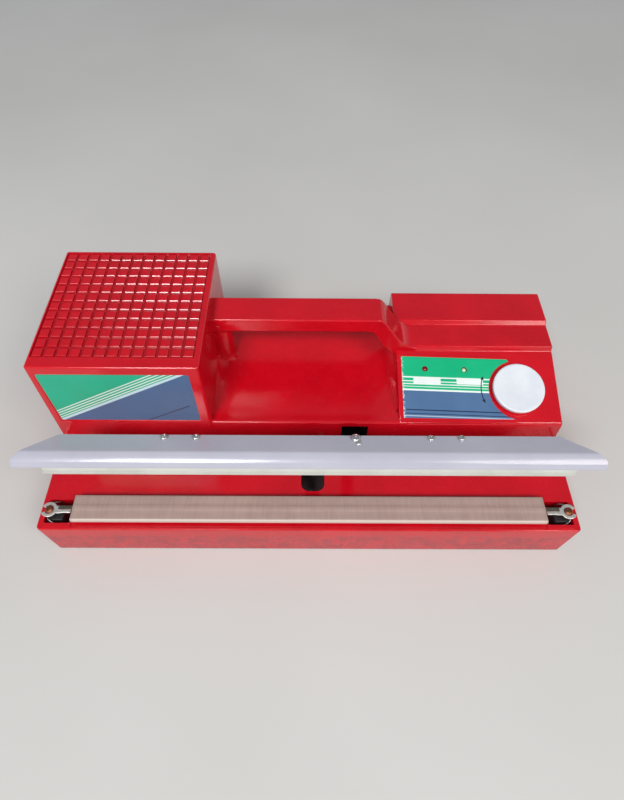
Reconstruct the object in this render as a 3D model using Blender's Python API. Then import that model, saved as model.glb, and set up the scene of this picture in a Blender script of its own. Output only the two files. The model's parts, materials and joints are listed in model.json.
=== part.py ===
import math

import bmesh
import bpy
from mathutils import Matrix, Vector

# Driving dimensions, in millimetres. X runs to the right, Y to the back, Z up.
body_width = 322.0          # across the deck's rim
body_depth = 162.0          # front lip to back wall
wall = 2.5                  # moulded wall
foot_drop = 0.8             # skirt's lower edge above the table
deck_z = 31.5               # top of the sealing deck
front_wall_y = 63.3         # low wall behind the deck
sill_z = 51.5               # front edge of the recess and of the panel
box_top_z = 105.0           # transformer housing
box_right_x = -61.3
block_left_x = 56.0         # control block
block_right_x = 157.8
block_top_z = 72.0
ledge_z = 69.0              # ledge in front of the block's top
panel_foot = (63.0, 51.6)   # control panel's lower edge, Y and Z
panel_head = (107.6, 65.81)  # control panel's upper edge, Y and Z
handle_top_z = 94.0
handle_under_z = 83.4
handle_front_y = 110.3
handle_back_y = 130.2
pad_columns = 13
pad_rows = 12
pad_pitch_x = 7.05
pad_pitch_y = 7.54
pad_groove = 1.7
pad_depth = 0.8
slot_centre_x = 2.0         # lever slot in the deck
slot_width = 14.4
slot_front_y = 26.2
slot_back_y = 61.6
strap_window = (20.2, 36.9)  # window in the front wall, X from and to
strap_x = 25.5
strap_screw_y = 20.8
pivot = (107.8, 25.3)       # press lever's axle, Y and Z
open_angle = 20.0           # how far the press stands open at rest, degrees
bar_length = 321.0
bar_nose_y = 4.0            # bar's front, with the press closed
bar_rear_y = 23.5
bar_top_z = 50.9
strip_length = 280.0
strip_front_y = 4.2
strip_back_y = 20.5
strip_top_z = 37.7
terminal_x = 154.3          # terminal studs, each side
terminal_y = 11.6
pocket_inner_x = 142.0
pocket_outer_x = 159.0
knob_x = 132.0
knob_along = 22.65          # up the panel from its lower edge
knob_radius = 16.3
knob_height = 5.0
front_to_centre = 82.5      # from the front lip to the middle of the footprint


def clear_scene():
    for obj in list(bpy.data.objects):
        bpy.data.objects.remove(obj, do_unlink=True)


def material(name, colour, roughness, metallic=0.0):
    mat = bpy.data.materials.new(name)
    mat.use_nodes = True
    shader = mat.node_tree.nodes["Principled BSDF"]
    shader.inputs["Base Color"].default_value = (*colour, 1.0)
    shader.inputs["Roughness"].default_value = roughness
    shader.inputs["Metallic"].default_value = metallic
    mat.diffuse_color = (*colour, 1.0)
    return mat


def finish(name, bm, mat, smooth_angle=35.0):
    """Turn a bmesh in millimetres into an object in metres, faces outward."""
    bmesh.ops.remove_doubles(bm, verts=bm.verts, dist=1e-4)
    bmesh.ops.recalc_face_normals(bm, faces=bm.faces)
    bmesh.ops.scale(bm, vec=(0.001, 0.001, 0.001), verts=bm.verts)
    mesh = bpy.data.meshes.new(name)
    bm.to_mesh(mesh)
    bm.free()
    mesh.materials.append(mat)
    obj = bpy.data.objects.new(name, mesh)
    bpy.context.scene.collection.objects.link(obj)
    mesh.shade_smooth()
    mesh.set_sharp_from_angle(angle=math.radians(smooth_angle))
    return obj


def combine(target, tool, operation="DIFFERENCE"):
    """Cut or join with another object, keep the result and drop the tool."""
    modifier = target.modifiers.new("combine", "BOOLEAN")
    modifier.object = tool
    modifier.operation = operation
    modifier.solver = "EXACT"
    graph = bpy.context.evaluated_depsgraph_get()
    mesh = bpy.data.meshes.new_from_object(target.evaluated_get(graph))
    target.modifiers.clear()
    target.data = mesh
    bpy.data.objects.remove(tool, do_unlink=True)


def add_box(bm, low, high):
    size = [high[i] - low[i] for i in range(3)]
    middle = [(high[i] + low[i]) / 2.0 for i in range(3)]
    place = Matrix.Translation(middle) @ Matrix.Diagonal((*size, 1.0))
    return bmesh.ops.create_cube(bm, size=1.0, matrix=place)["verts"]


def box(name, low, high, mat, bevel=0.0, segments=1):
    bm = bmesh.new()
    add_box(bm, low, high)
    if bevel:
        bmesh.ops.bevel(bm, geom=bm.edges[:], offset=bevel, segments=segments, profile=0.5, affect="EDGES")
    return finish(name, bm, mat)


def prism(name, outline, low, high, mat, axis="X", bevel=0.0, segments=1, long_only=False):
    """Extrude an outline. On axis X the outline is (Y, Z), on Y it is (X, Z), on Z it is (X, Y)."""
    bm = bmesh.new()
    place = {
        "X": lambda a, b, t: (t, a, b),
        "Y": lambda a, b, t: (a, t, b),
        "Z": lambda a, b, t: (a, b, t),
    }[axis]
    verts = [bm.verts.new(place(a, b, low)) for a, b in outline]
    face = bm.faces.new(verts)
    moved = bmesh.ops.extrude_face_region(bm, geom=[face])["geom"]
    shift = Vector(place(0.0, 0.0, high - low))
    bmesh.ops.translate(bm, vec=shift, verts=[v for v in moved if isinstance(v, bmesh.types.BMVert)])
    if bevel:
        index = "XYZ".index(axis)
        edges = bm.edges[:]
        if long_only:
            edges = [e for e in edges if abs(e.verts[0].co[index] - e.verts[1].co[index]) > 0.5]
        bmesh.ops.bevel(bm, geom=edges, offset=bevel, segments=segments, profile=0.5, affect="EDGES")
    return finish(name, bm, mat)


def frustum(name, low, high, top_low, top_high, z_low, z_high, mat, bevel=0.0, segments=2):
    """A block with drafted sides: low and high are its foot's corners, top_low and top_high its top's."""
    bm = bmesh.new()
    rings = []
    for (x0, y0), (x1, y1), z in ((low, high, z_low), (top_low, top_high, z_high)):
        rings.append([bm.verts.new(p) for p in ((x0, y0, z), (x1, y0, z), (x1, y1, z), (x0, y1, z))])
    bm.faces.new(rings[0])
    bm.faces.new(rings[1])
    for i in range(4):
        j = (i + 1) % 4
        bm.faces.new((rings[0][i], rings[0][j], rings[1][j], rings[1][i]))
    if bevel:
        edges = [e for e in bm.edges if max(v.co.z for v in e.verts) > z_low + 0.1]
        bmesh.ops.bevel(bm, geom=edges, offset=bevel, segments=segments, profile=0.5, affect="EDGES")
    return finish(name, bm, mat)


def turned(name, profile, mat, centre, direction=(0.0, 0.0, 1.0), steps=24):
    """Spin a (radius, height) outline about an axis. An outline that leaves the axis alone makes a ring."""
    bm = bmesh.new()
    verts = [bm.verts.new((r, 0.0, h)) for r, h in profile]
    edges = [bm.edges.new((verts[i], verts[i + 1])) for i in range(len(verts) - 1)]
    if profile[0][0] > 1e-6:
        edges.append(bm.edges.new((verts[-1], verts[0])))
    bmesh.ops.spin(bm, geom=verts + edges, cent=(0, 0, 0), axis=(0, 0, 1), angle=math.tau, steps=steps)
    turn = Vector((0.0, 0.0, 1.0)).rotation_difference(Vector(direction)).to_matrix().to_4x4()
    bmesh.ops.transform(bm, matrix=Matrix.Translation(centre) @ turn, verts=bm.verts)
    return finish(name, bm, mat)


def rod(name, radius, start, end, mat, steps=20):
    run = Vector(end) - Vector(start)
    return turned(name, [(0, 0), (radius, 0), (radius, run.length), (0, run.length)], mat, start, run, steps)


def tube_along(name, points, radius, mat, sides=6):
    """A round wire through the points, with flat ends."""
    bm = bmesh.new()
    points = [Vector(p) for p in points]
    rings = []
    side = None
    for i, point in enumerate(points):
        ahead = points[min(i + 1, len(points) - 1)] - points[max(i - 1, 0)]
        ahead.normalize()
        if side is None:
            side = ahead.orthogonal().normalized()
        side = (side - ahead * side.dot(ahead)).normalized()
        other = ahead.cross(side)
        turn = [math.tau * k / sides for k in range(sides)]
        rings.append([bm.verts.new(point + radius * (math.cos(a) * side + math.sin(a) * other)) for a in turn])
    for ring, ahead in zip(rings, rings[1:]):
        for k in range(sides):
            m = (k + 1) % sides
            bm.faces.new((ring[k], ring[m], ahead[m], ahead[k]))
    bm.faces.new(rings[0])
    bm.faces.new(rings[-1])
    return finish(name, bm, mat, 60.0)


def smooth_path(points, per_span=6):
    """Catmull-Rom points through a route."""
    points = [Vector(p) for p in points]
    ends = [points[0] * 2 - points[1]] + points + [points[-1] * 2 - points[-2]]
    path = []
    for a, b, c, d in zip(ends, ends[1:], ends[2:], ends[3:]):
        for k in range(per_span):
            t = k / per_span
            path.append(0.5 * (2 * b + (c - a) * t + (2 * a - 5 * b + 4 * c - d) * t * t
                               + (3 * b - a - 3 * c + d) * t * t * t))
    path.append(points[-1])
    return path


def arc(centre, radius, start, end, count):
    """Points on an arc, angles in degrees, start and end included."""
    points = []
    for k in range(count):
        a = math.radians(start + (end - start) * k / (count - 1))
        points.append((centre[0] + radius * math.cos(a), centre[1] + radius * math.sin(a)))
    return points


def panel_frame():
    """The control panel's own axes: along X, up the slope, and out of the surface."""
    foot = Vector((0.0, panel_foot[0], panel_foot[1]))
    up = (Vector((0.0, panel_head[0], panel_head[1])) - foot).normalized()
    out = Vector((1.0, 0.0, 0.0)).cross(up)
    return foot, up, out


def on_panel(x, along, height=0.0):
    foot, up, out = panel_frame()
    return Vector((x, 0.0, 0.0)) + foot + up * along + out * height


def lay_on_panel(obj):
    """Move a mesh made flat (X, along, height) onto the panel."""
    foot, up, out = panel_frame()
    turn = Matrix((Vector((1, 0, 0)), up, out)).transposed().to_4x4()
    obj.data.transform(Matrix.Translation(foot * 0.001) @ turn)


def put_origin(obj, point):
    """Give an object its origin at a point, in millimetres, without moving its shape."""
    place = Vector(point) * 0.001
    obj.data.transform(Matrix.Translation(-place))
    obj.location = place


def draft_block(block_body):
    """Lean the control block's right end outward towards its foot."""
    for vert in block_body.data.vertices:
        if vert.co.x > 0.12:
            vert.co.x += 0.002 * (0.072 - vert.co.z) / 0.052


def shell_outside(red):
    shell = frustum("upper_shell", (-158.7, 1.4), (158.7, 161.3), (-161.0, 0.6), (161.0, 162.0),
                    foot_drop, deck_z, red, 1.6)
    housing = frustum("tool", (-159.6, 62.6), (-60.6, 161.8), (-157.7, front_wall_y), (box_right_x, 160.0),
                      20.0, box_top_z, red, 2.4)
    combine(shell, housing, "UNION")
    # recess: a shallow dish between the housing and the block, low at the front
    dish = [(63.4, 20.0), (front_wall_y + 0.5, sill_z - 1.0), (front_wall_y + 1.4, sill_z), (66.8, 51.2),
            (72.0, 50.6), (84.0, 50.4), (100.0, 51.0), (118.0, 52.6), (136.0, 55.0), (150.0, 57.0),
            (158.0, 58.0), (160.2, 56.6), (160.9, 20.0)]
    combine(shell, prism("tool", dish, -66.0, 64.0, red), "UNION")
    block = [(62.9, 20.0), (panel_foot[0], panel_foot[1] - 1.2), (panel_foot[0] + 1.0, panel_foot[1]),
             panel_head, (110.8, 66.1), (111.4, 68.2), (112.4, ledge_z), (130.2, ledge_z + 0.3),
             (132.6, block_top_z), (157.6, block_top_z), (159.4, 70.2), (161.5, 20.0)]
    block_body = prism("tool", block, block_left_x, block_right_x, red, bevel=0.45)
    draft_block(block_body)
    combine(shell, block_body, "UNION")
    # handle: a level bar that drops in an S to the block, and a round leg by the housing
    bar = [(-64.0, handle_top_z), (41.8, handle_top_z), (44.6, 93.2), (47.2, 90.6), (50.6, 85.6), (54.2, 80.2),
           (57.4, 75.6), (60.4, 72.4), (64.0, 70.2), (69.0, 68.4), (69.0, 56.0), (60.4, 57.8), (56.0, 61.6),
           (51.6, 65.6), (47.6, 69.8), (44.6, 74.6), (42.0, 79.4), (39.6, 82.4), (36.8, handle_under_z),
           (-64.0, handle_under_z)]
    handle = prism("tool", bar, handle_front_y, handle_back_y, red, "Y", 2.0, 2)
    combine(shell, handle, "UNION")
    leg = rod("tool", 7.6, (-58.2, 119.4, 45.0), (-58.2, 119.4, 88.0), red, 20)
    combine(shell, leg, "UNION")
    return shell


def hollow_shell(shell, red):
    t = wall
    lower = frustum("tool", (-156.2, 3.9), (156.2, 158.8), (-158.4, 3.1), (158.4, 159.4),
                    -2.0, deck_z - t, red)
    combine(shell, lower)
    housing = frustum("tool", (-157.0, front_wall_y + t), (-63.2, 159.2), (-155.2, front_wall_y + t),
                      (box_right_x - t, 157.4), 20.0, box_top_z - t, red)
    combine(shell, housing)
    dish = [(front_wall_y + t, 20.0), (front_wall_y + t, 48.2), (84.0, 47.7), (100.0, 48.3),
            (118.0, 49.9), (136.0, 52.3), (150.0, 54.2), (157.6, 55.2), (158.8, 20.0)]
    combine(shell, prism("tool", dish, -72.0, 72.0, red))
    block = [(front_wall_y + t, 20.0), (front_wall_y + t, 49.8), (106.6, 62.8), (113.4, 63.2),
             (113.8, 66.2), (131.4, 66.6), (133.8, 69.3), (157.0, 69.3), (158.9, 20.0)]
    combine(shell, prism("tool", block, block_left_x + t, block_right_x - 2.0, red))


def terminal_cups(shell, red):
    for side in (-1, 1):
        xs = sorted((side * (pocket_inner_x - 2.0), side * 158.9))
        combine(shell, box("tool", (xs[0], 2.4, 20.0), (xs[1], 21.8, deck_z - 0.6), red), "UNION")
    for side in (-1, 1):
        xs = sorted((side * pocket_inner_x, side * (pocket_outer_x - 1.6)))
        combine(shell, box("tool", (xs[0], 4.6, 22.0), (xs[1], 19.8, deck_z + 2.0), red))
        hole = rod("tool", 2.6, (side * 149.8, terminal_y, 18.0), (side * 149.8, terminal_y, 24.0), red, 12)
        combine(shell, hole)


def screw_posts():
    return [(-148.0, 40.0), (148.0, 40.0), (-148.0, 150.0), (148.0, 150.0)]


def add_posts(shell, red):
    for x, y in screw_posts():
        top = deck_z - 0.8 if y < 60.0 else 58.0
        if y > 60.0 and x < 0.0:
            top = box_top_z - 1.0
        if y > 60.0 and x > 0.0:
            top = block_top_z - 1.0
        combine(shell, rod("tool", 4.2, (x, y, 3.4), (x, y, top), red, 12), "UNION")
        combine(shell, rod("tool", 1.9, (x, y, 0.0), (x, y, 17.0), red, 10))


def groove_lattice(red):
    """The grooves between the grip pads, as one flat lattice."""
    bm = bmesh.new()
    centre_x = -110.4
    centre_y = 111.9
    half = pad_groove / 2.0
    xs = [centre_x + (i - pad_columns / 2.0) * pad_pitch_x for i in range(pad_columns + 1)]
    ys = [centre_y + (j - pad_rows / 2.0) * pad_pitch_y for j in range(pad_rows + 1)]
    lines_x = sorted([x - half for x in xs] + [x + half for x in xs])
    lines_y = sorted([y - half for y in ys] + [y + half for y in ys])
    points = [[bm.verts.new((x, y, box_top_z - pad_depth)) for y in lines_y] for x in lines_x]
    for i in range(len(lines_x) - 1):
        for j in range(len(lines_y) - 1):
            if i % 2 == 0 or j % 2 == 0:
                bm.faces.new((points[i][j], points[i + 1][j], points[i + 1][j + 1], points[i][j + 1]))
    bmesh.ops.dissolve_limit(bm, angle_limit=0.01, verts=bm.verts, edges=[])
    bmesh.ops.triangulate(bm, faces=bm.faces)
    moved = bmesh.ops.extrude_face_region(bm, geom=bm.faces[:])["geom"]
    top = [v for v in moved if isinstance(v, bmesh.types.BMVert)]
    bmesh.ops.translate(bm, vec=(0.0, 0.0, 3.0), verts=top)
    return finish("tool", bm, red)


def deck_openings(shell, red):
    # lever slot: round front corners, running back under the front wall
    half = slot_width / 2.0
    corner = 5.0
    left = slot_centre_x - half
    right = slot_centre_x + half
    outline = arc((left + corner, slot_front_y + corner), corner, 180.0, 270.0, 5)
    outline += arc((right - corner, slot_front_y + corner), corner, 270.0, 360.0, 5)
    outline += [(right, slot_back_y), (left, slot_back_y)]
    combine(shell, prism("tool", outline, deck_z - 6.0, deck_z + 3.0, red, "Z"))
    # window in the front wall, with its notch in the deck behind the bar
    combine(shell, box("tool", (strap_window[0], 60.6, 26.0), (strap_window[1], 68.0, 47.4), red))
    combine(shell, box("tool", (strap_window[0], 42.0, 26.0), (strap_window[1], 63.0, 34.0), red))


def knob_bite(grow, count=13):
    """The concave arc that the panel label leaves around the knob, (X, along) top to bottom."""
    centre = (134.0, 22.6)
    radius = 20.0 - grow
    reach = math.degrees(math.asin(19.4 / radius))
    return arc(centre, radius, 180.0 - reach, 180.0 + reach, count)


def panel_label_outline(grow=0.0):
    bite = knob_bite(grow)
    low = bite[-1][1] - grow * 0.5
    outline = [(59.0 - grow, 45.3 + grow), (bite[0][0] - 1.2, 43.4 + grow)]
    outline += bite
    outline += [(bite[-1][0] - 1.0, low - 0.3), (59.0 - grow, low + 0.5)]
    return outline


def face_details(shell, red):
    combine(shell, groove_lattice(red))
    # shallow seats for the two labels
    combine(shell, box("tool", (-153.9, 60.0, 53.3), (-67.2, front_wall_y + 0.55, 99.4), red))
    seat = prism("tool", panel_label_outline(0.4), -0.5, 3.0, red, "Z")
    lay_on_panel(seat)
    combine(shell, seat)
    foot, up, out = panel_frame()
    for x, along, radius in ((74.0, 36.4, 1.8), (99.2, 35.8, 1.8), (knob_x, knob_along, 3.6)):
        start = on_panel(x, along, -8.0)
        combine(shell, rod("tool", radius, start, start + out * 12.0, red, 14))


def back_openings(shell, red):
    for k in range(6):
        x = -140.0 + 11.0 * k
        combine(shell, box("tool", (x, 150.0, 60.0), (x + 4.4, 170.0, 84.0), red))
    combine(shell, rod("tool", 5.4, (118.0, 150.0, 20.0), (118.0, 170.0, 20.0), red, 16))


def build_shell():
    red = material("red_plastic", (0.58, 0.012, 0.016), 0.22)
    shell = shell_outside(red)
    hollow_shell(shell, red)
    terminal_cups(shell, red)
    add_posts(shell, red)
    deck_openings(shell, red)
    face_details(shell, red)
    back_openings(shell, red)
    bm = bmesh.new()
    bm.from_mesh(shell.data)
    bmesh.ops.dissolve_limit(bm, angle_limit=0.002, verts=bm.verts, edges=bm.edges, delimit={"NORMAL"})
    bm.to_mesh(shell.data)
    bm.free()
    shell.data.shade_smooth()
    shell.data.set_sharp_from_angle(angle=math.radians(35.0))


def build_base():
    steel = material("plated_sheet", (0.55, 0.55, 0.56), 0.38, 1.0)
    rubber = material("foot_rubber", (0.025, 0.025, 0.027), 0.75)
    screw_steel = material("screw_steel", (0.5, 0.5, 0.52), 0.3, 1.0)
    plate = box("bottom_plate", (-155.4, 4.6, 1.6), (155.4, 157.8, 3.0), steel)
    for x, y in screw_posts():
        combine(plate, rod("tool", 2.0, (x, y, 0.0), (x, y, 6.0), steel, 12))
    for row in range(6):
        combine(plate, box("tool", (-140.0 + 11.0 * row, 70.0, 0.0), (-135.6 + 11.0 * row, 88.0, 6.0), steel))
    names = ("front_left", "front_right", "back_left", "back_right")
    for name, (x, y) in zip(names, screw_posts()):
        inward = -1.0 if x > 0.0 else 1.0
        foot_profile = [(0, 0), (6.2, 0), (7.0, 1.3), (0, 1.3)]
        turned("foot_" + name, foot_profile, rubber, (x + 16.0 * inward, y, 0.0), steps=20)
        screw = [(0, 0.35), (2.7, 0.35), (3.1, 0.8), (3.1, 1.3), (1.5, 1.3), (1.5, 14.0), (0, 15.2)]
        turned("base_screw_" + name, screw, screw_steel, (x, y, 0.0), steps=14)


def build_labels():
    film = material("label_film", (0.05, 0.42, 0.2), 0.35)
    box("front_label", (-153.4, front_wall_y + 0.05, 53.8), (-67.7, front_wall_y + 0.25, 98.9), film)
    panel_film = material("panel_film", (0.04, 0.52, 0.24), 0.35)
    label = prism("panel_label", panel_label_outline(-0.1), -0.2, 0.0, panel_film, "Z")
    for x, along in ((74.0, 36.4), (99.2, 35.8)):
        combine(label, rod("tool", 1.8, (x, along, -2.0), (x, along, 2.0), panel_film, 14))
    lay_on_panel(label)
    put_origin(label, on_panel(94.0, 22.6))


def build_indicators():
    out = panel_frame()[2]
    profile = [(0, 0), (1.9, 0), (1.9, 1.0), (1.45, 1.0), (1.45, 4.2), (1.2, 4.8), (0.6, 5.1), (0, 5.2)]
    places = (("power_lamp", 74.0, 36.4, (0.32, 0.02, 0.02)), ("warm_lamp", 99.2, 35.8, (0.55, 0.8, 0.45)))
    for name, x, along, colour in places:
        lens = material(name + "_lens", colour, 0.15)
        turned(name, profile, lens, on_panel(x, along, -4.6), out, 16)


def build_timer_knob():
    out = panel_frame()[2]
    white = material("knob_plastic", (0.83, 0.86, 0.88), 0.3)
    steel = material("shaft_steel", (0.6, 0.6, 0.61), 0.28, 1.0)
    case = material("pot_case", (0.4, 0.33, 0.2), 0.5)
    brass = material("nut_plated", (0.65, 0.63, 0.58), 0.3, 1.0)
    base = on_panel(knob_x, knob_along, 0.0)
    r = knob_radius
    h = knob_height
    profile = [(0.0, h - 0.25), (r - 2.2, h), (r - 1.1, h - 0.1), (r - 0.25, h - 0.9), (r, 1.2),
               (r - 0.4, 0.6), (r - 2.2, 0.6), (r - 2.4, h - 1.9), (6.6, h - 1.9), (6.6, h - 2.4), (3.4, h - 2.4),
               (3.4, h - 1.4), (0.0, h - 1.4)]
    knob = turned("timer_knob", profile, white, base, out, 40)
    put_origin(knob, base)
    shaft = rod("timer_shaft", 2.9, base - out * 6.4, base + out * (h - 1.6), steel, 16)
    put_origin(shaft, base)
    pot = [(0, -15.0), (8.3, -15.0), (8.3, -7.0), (4.9, -7.0), (4.9, -3.0), (3.3, -3.0), (3.3, -6.8),
           (0, -6.8)]
    pot_body = turned("timer_pot", pot, case, base, out, 24)
    put_origin(pot_body, base)
    nut = [(3.7, 0.3), (5.9, 0.3), (5.9, 2.1), (3.7, 2.1)]
    nut_body = turned("timer_nut", nut, brass, base, out, 6)
    put_origin(nut_body, base)


def build_board():
    green = material("circuit_board", (0.02, 0.16, 0.06), 0.45)
    blue = material("relay_case", (0.04, 0.08, 0.35), 0.35)
    dark = material("capacitor_sleeve", (0.02, 0.03, 0.06), 0.3)
    steel = material("bracket_sheet", (0.55, 0.55, 0.56), 0.36, 1.0)
    tray = [(68.0, 3.3), (76.0, 3.3), (76.0, 21.0), (134.0, 21.0), (134.0, 3.3), (142.0, 3.3), (142.0, 4.6),
            (135.4, 4.6), (135.4, 22.4), (74.6, 22.4), (74.6, 4.6), (68.0, 4.6)]
    prism("board_bracket", tray, 96.0, 132.0, steel, "Y")
    box("timer_board", (72.0, 84.0, 22.7), (140.0, 142.0, 24.3), green)
    box("timer_relay", (78.0, 92.0, 24.6), (97.0, 107.4, 39.6), blue, 0.6)
    turned("timer_capacitor", [(0, 0), (5.0, 0), (5.0, 15.4), (4.4, 16.0), (0, 16.0)], dark,
           (110.0, 128.0, 24.6), steps=18)


def build_transformer():
    iron = material("core_iron", (0.22, 0.21, 0.2), 0.5, 0.8)
    copper = material("coil_wrap", (0.35, 0.2, 0.05), 0.5)
    yellow = material("coil_tape", (0.62, 0.48, 0.08), 0.45)
    steel = material("transformer_sheet", (0.55, 0.55, 0.56), 0.36, 1.0)
    bolt_steel = material("bolt_steel", (0.5, 0.5, 0.52), 0.3, 1.0)
    x = -108.0
    front = 96.0
    back = 132.0
    core = box("transformer_core", (x - 33.0, front, 8.6), (x + 33.0, back, 63.0), iron)
    for low, high in ((x - 22.0, x - 11.0), (x + 11.0, x + 22.0)):
        combine(core, box("tool", (low, front - 5.0, 19.6), (high, back + 5.0, 52.0), iron))
    for name, low, high, mat in (("primary_coil", 20.0, 35.6, copper), ("secondary_coil", 35.9, 51.6, yellow)):
        coil = box(name, (x - 21.6, front - 9.0, low), (x + 21.6, back + 9.0, high), mat, 2.0, 2)
        combine(coil, box("tool", (x - 11.4, front - 0.4, 10.0), (x + 11.4, back + 0.4, 60.0), mat))
    strap = [(x - 45.0, 3.3), (x + 45.0, 3.3), (x + 45.0, 4.7), (x + 36.0, 8.3), (x - 36.0, 8.3),
             (x - 45.0, 4.7)]
    seat = prism("transformer_seat", strap, 104.0, 124.0, steel, "Y")
    for name, side in (("left", -1.0), ("right", 1.0)):
        px = x + side * 41.4
        combine(seat, rod("tool", 1.9, (px, 114.0, 0.0), (px, 114.0, 12.0), steel, 12))
        profile = [(0, 3.4), (1.5, 3.4), (1.5, 8.0), (3.0, 8.0), (3.0, 9.6), (0, 10.2)]
        turned("transformer_bolt_" + name, profile, bolt_steel, (px, 114.0, 0.0), steps=14)


def swing(obj, angle=-open_angle):
    """Turn a piece drawn with the press closed to where it stands at rest, and set its origin on the axle."""
    centre = Vector((0.0, pivot[0], pivot[1])) * 0.001
    turn = Matrix.Rotation(math.radians(angle), 4, "X")
    obj.data.transform(turn @ Matrix.Translation(-centre))
    obj.location = centre


def offset_path(points, half):
    """Outline of a flat bar that follows a line, with round corners left sharp."""
    left = []
    right = []
    for i, point in enumerate(points):
        a = Vector(points[max(i - 1, 0)])
        b = Vector(points[min(i + 1, len(points) - 1)])
        ahead = (b - a).normalized()
        normal = Vector((-ahead.y, ahead.x)) * half[i]
        left.append((point[0] + normal.x, point[1] + normal.y))
        right.append((point[0] - normal.x, point[1] - normal.y))
    return left + right[::-1]


def build_lever():
    steel = material("lever_steel", (0.3, 0.3, 0.32), 0.42, 1.0)
    y, z = pivot
    line = [(127.4, 30.6), (118.0, 27.6), (y, z), (96.0, 18.2), (82.0, 10.6), (72.0, 8.0), (62.0, 7.8),
            (53.0, 9.6), (46.0, 14.0), (39.0, 22.0), (33.0, 29.2), (29.0, 36.0), (26.6, 41.6), (25.4, 46.2)]
    half = [3.0, 3.4, 4.2, 4.0, 3.7, 3.6, 3.5, 3.5, 3.5, 3.5, 3.5, 3.3, 3.2, 3.2]
    low = slot_centre_x - 4.5
    high = slot_centre_x + 4.5
    lever = prism("lever_arm", offset_path(line, half), low, high, steel)
    head = box("tool", (low, 18.8, 43.8), (high, 28.4, 46.3), steel)
    combine(lever, head, "UNION")
    hub = rod("tool", 7.0, (slot_centre_x - 14.0, y, z), (slot_centre_x + 14.0, y, z), steel, 24)
    combine(lever, hub, "UNION")
    combine(lever, rod("tool", 3.35, (-60.0, y, z), (60.0, y, z), steel, 20))
    swing(lever)


def build_pivot():
    steel = material("pivot_steel", (0.52, 0.52, 0.54), 0.34, 1.0)
    axle_steel = material("axle_steel", (0.6, 0.6, 0.62), 0.24, 1.0)
    y, z = pivot
    inner = 15.0
    left = slot_centre_x - inner
    right = slot_centre_x + inner
    foot = 3.3
    outline = [(left - 9.0, foot), (right + 9.0, foot), (right + 9.0, foot + 1.6), (right + 1.9, foot + 1.6),
               (right + 1.9, 32.6), (right, 32.6), (right, foot + 1.6), (left, foot + 1.6), (left, 32.6),
               (left - 1.9, 32.6), (left - 1.9, foot + 1.6), (left - 9.0, foot + 1.6)]
    bracket = prism("pivot_bracket", outline, y - 9.0, y + 9.0, steel, "Y")
    combine(bracket, rod("tool", 3.3, (-60.0, y, z), (60.0, y, z), steel, 20))
    profile = [(0, -20.6), (4.6, -20.6), (4.6, -18.4), (3.0, -18.4), (3.0, 18.4), (4.6, 18.4),
               (4.6, 20.6), (0, 20.6)]
    turned("pivot_axle", profile, axle_steel, (slot_centre_x, y, z), (1.0, 0.0, 0.0), 20)


def bar_outline():
    """The press bar's sheet, from its rear edge round the nose to the front lip, outer then inner."""
    t = 1.2
    top = bar_top_z
    n = bar_nose_y
    outer = [(bar_rear_y, top), (9.6, top - 0.05), (8.6, top - 0.35), (6.4, top - 2.3), (5.0, top - 4.0),
             (4.3, top - 5.4), (n, top - 6.6), (n + 0.05, top - 7.7)]
    inner = [(bar_rear_y, top - t), (10.1, top - t - 0.05), (9.3, top - 1.5), (7.25, top - 3.14),
             (5.95, top - 4.75), (5.38, top - 5.9), (5.19, top - 6.75), (n + 1.2, top - 7.75)]
    return outer, inner


def build_bar():
    paint = material("bar_paint", (0.62, 0.64, 0.74), 0.3, 0.2)
    outer, inner = bar_outline()
    loop = outer + inner[::-1]
    bm = bmesh.new()
    ends = []
    for side in (-1, 1):
        ring = []
        for y, z in loop:
            reach = bar_length / 2.0 - max(0.0, y - bar_nose_y - 1.6) * 20.4 / (bar_rear_y - bar_nose_y - 1.6)
            ring.append(bm.verts.new((side * reach, y, z)))
        ends.append(ring)
    for i in range(len(loop)):
        j = (i + 1) % len(loop)
        bm.faces.new((ends[0][i], ends[0][j], ends[1][j], ends[1][i]))
    n = len(outer)
    for ring in ends:
        for i in range(n - 1):
            bm.faces.new((ring[i], ring[i + 1], ring[2 * n - 2 - i], ring[2 * n - 1 - i]))
    bar = finish("press_bar", bm, paint)
    for x in bar_screw_places():
        combine(bar, rod("tool", 1.6, (x, 21.0, 40.0), (x, 21.0, 60.0), paint, 12))
    combine(bar, rod("tool", 1.8, (strap_x, strap_screw_y, 40.0), (strap_x, strap_screw_y, 60.0), paint, 12))
    swing(bar)


def bar_screw_places():
    return [-80.9, -63.3, 67.5, 84.5]


def build_jaw():
    steel = material("yoke_steel", (0.4, 0.4, 0.42), 0.4, 1.0)
    alloy = material("holder_alloy", (0.5, 0.51, 0.54), 0.4, 1.0)
    silicone = material("silicone_rubber", (0.72, 0.68, 0.58), 0.55)
    yoke = box("cross_yoke", (-92.0, 12.0, 46.7), (94.0, 23.3, 49.0), steel)
    for x in bar_screw_places():
        combine(yoke, rod("tool", 1.6, (x, 21.0, 40.0), (x, 21.0, 60.0), steel, 12))
    combine(yoke, rod("tool", 1.8, (strap_x, strap_screw_y, 40.0), (strap_x, strap_screw_y, 60.0), steel, 12))
    swing(yoke)
    channel = [(6.4, 42.4), (8.1, 42.4), (8.1, 44.6), (15.9, 44.6), (15.9, 42.4), (17.6, 42.4),
               (17.6, 46.4), (6.4, 46.4)]
    swing(prism("silicone_holder", channel, -146.5, 146.5, alloy))
    strip = [(4.6, 38.1), (16.8, 38.1), (16.8, 42.2), (15.6, 42.2), (15.6, 44.3), (8.4, 44.3),
             (8.4, 42.2), (4.6, 42.2)]
    swing(prism("silicone_strip", strip, -145.0, 145.0, silicone))


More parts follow.
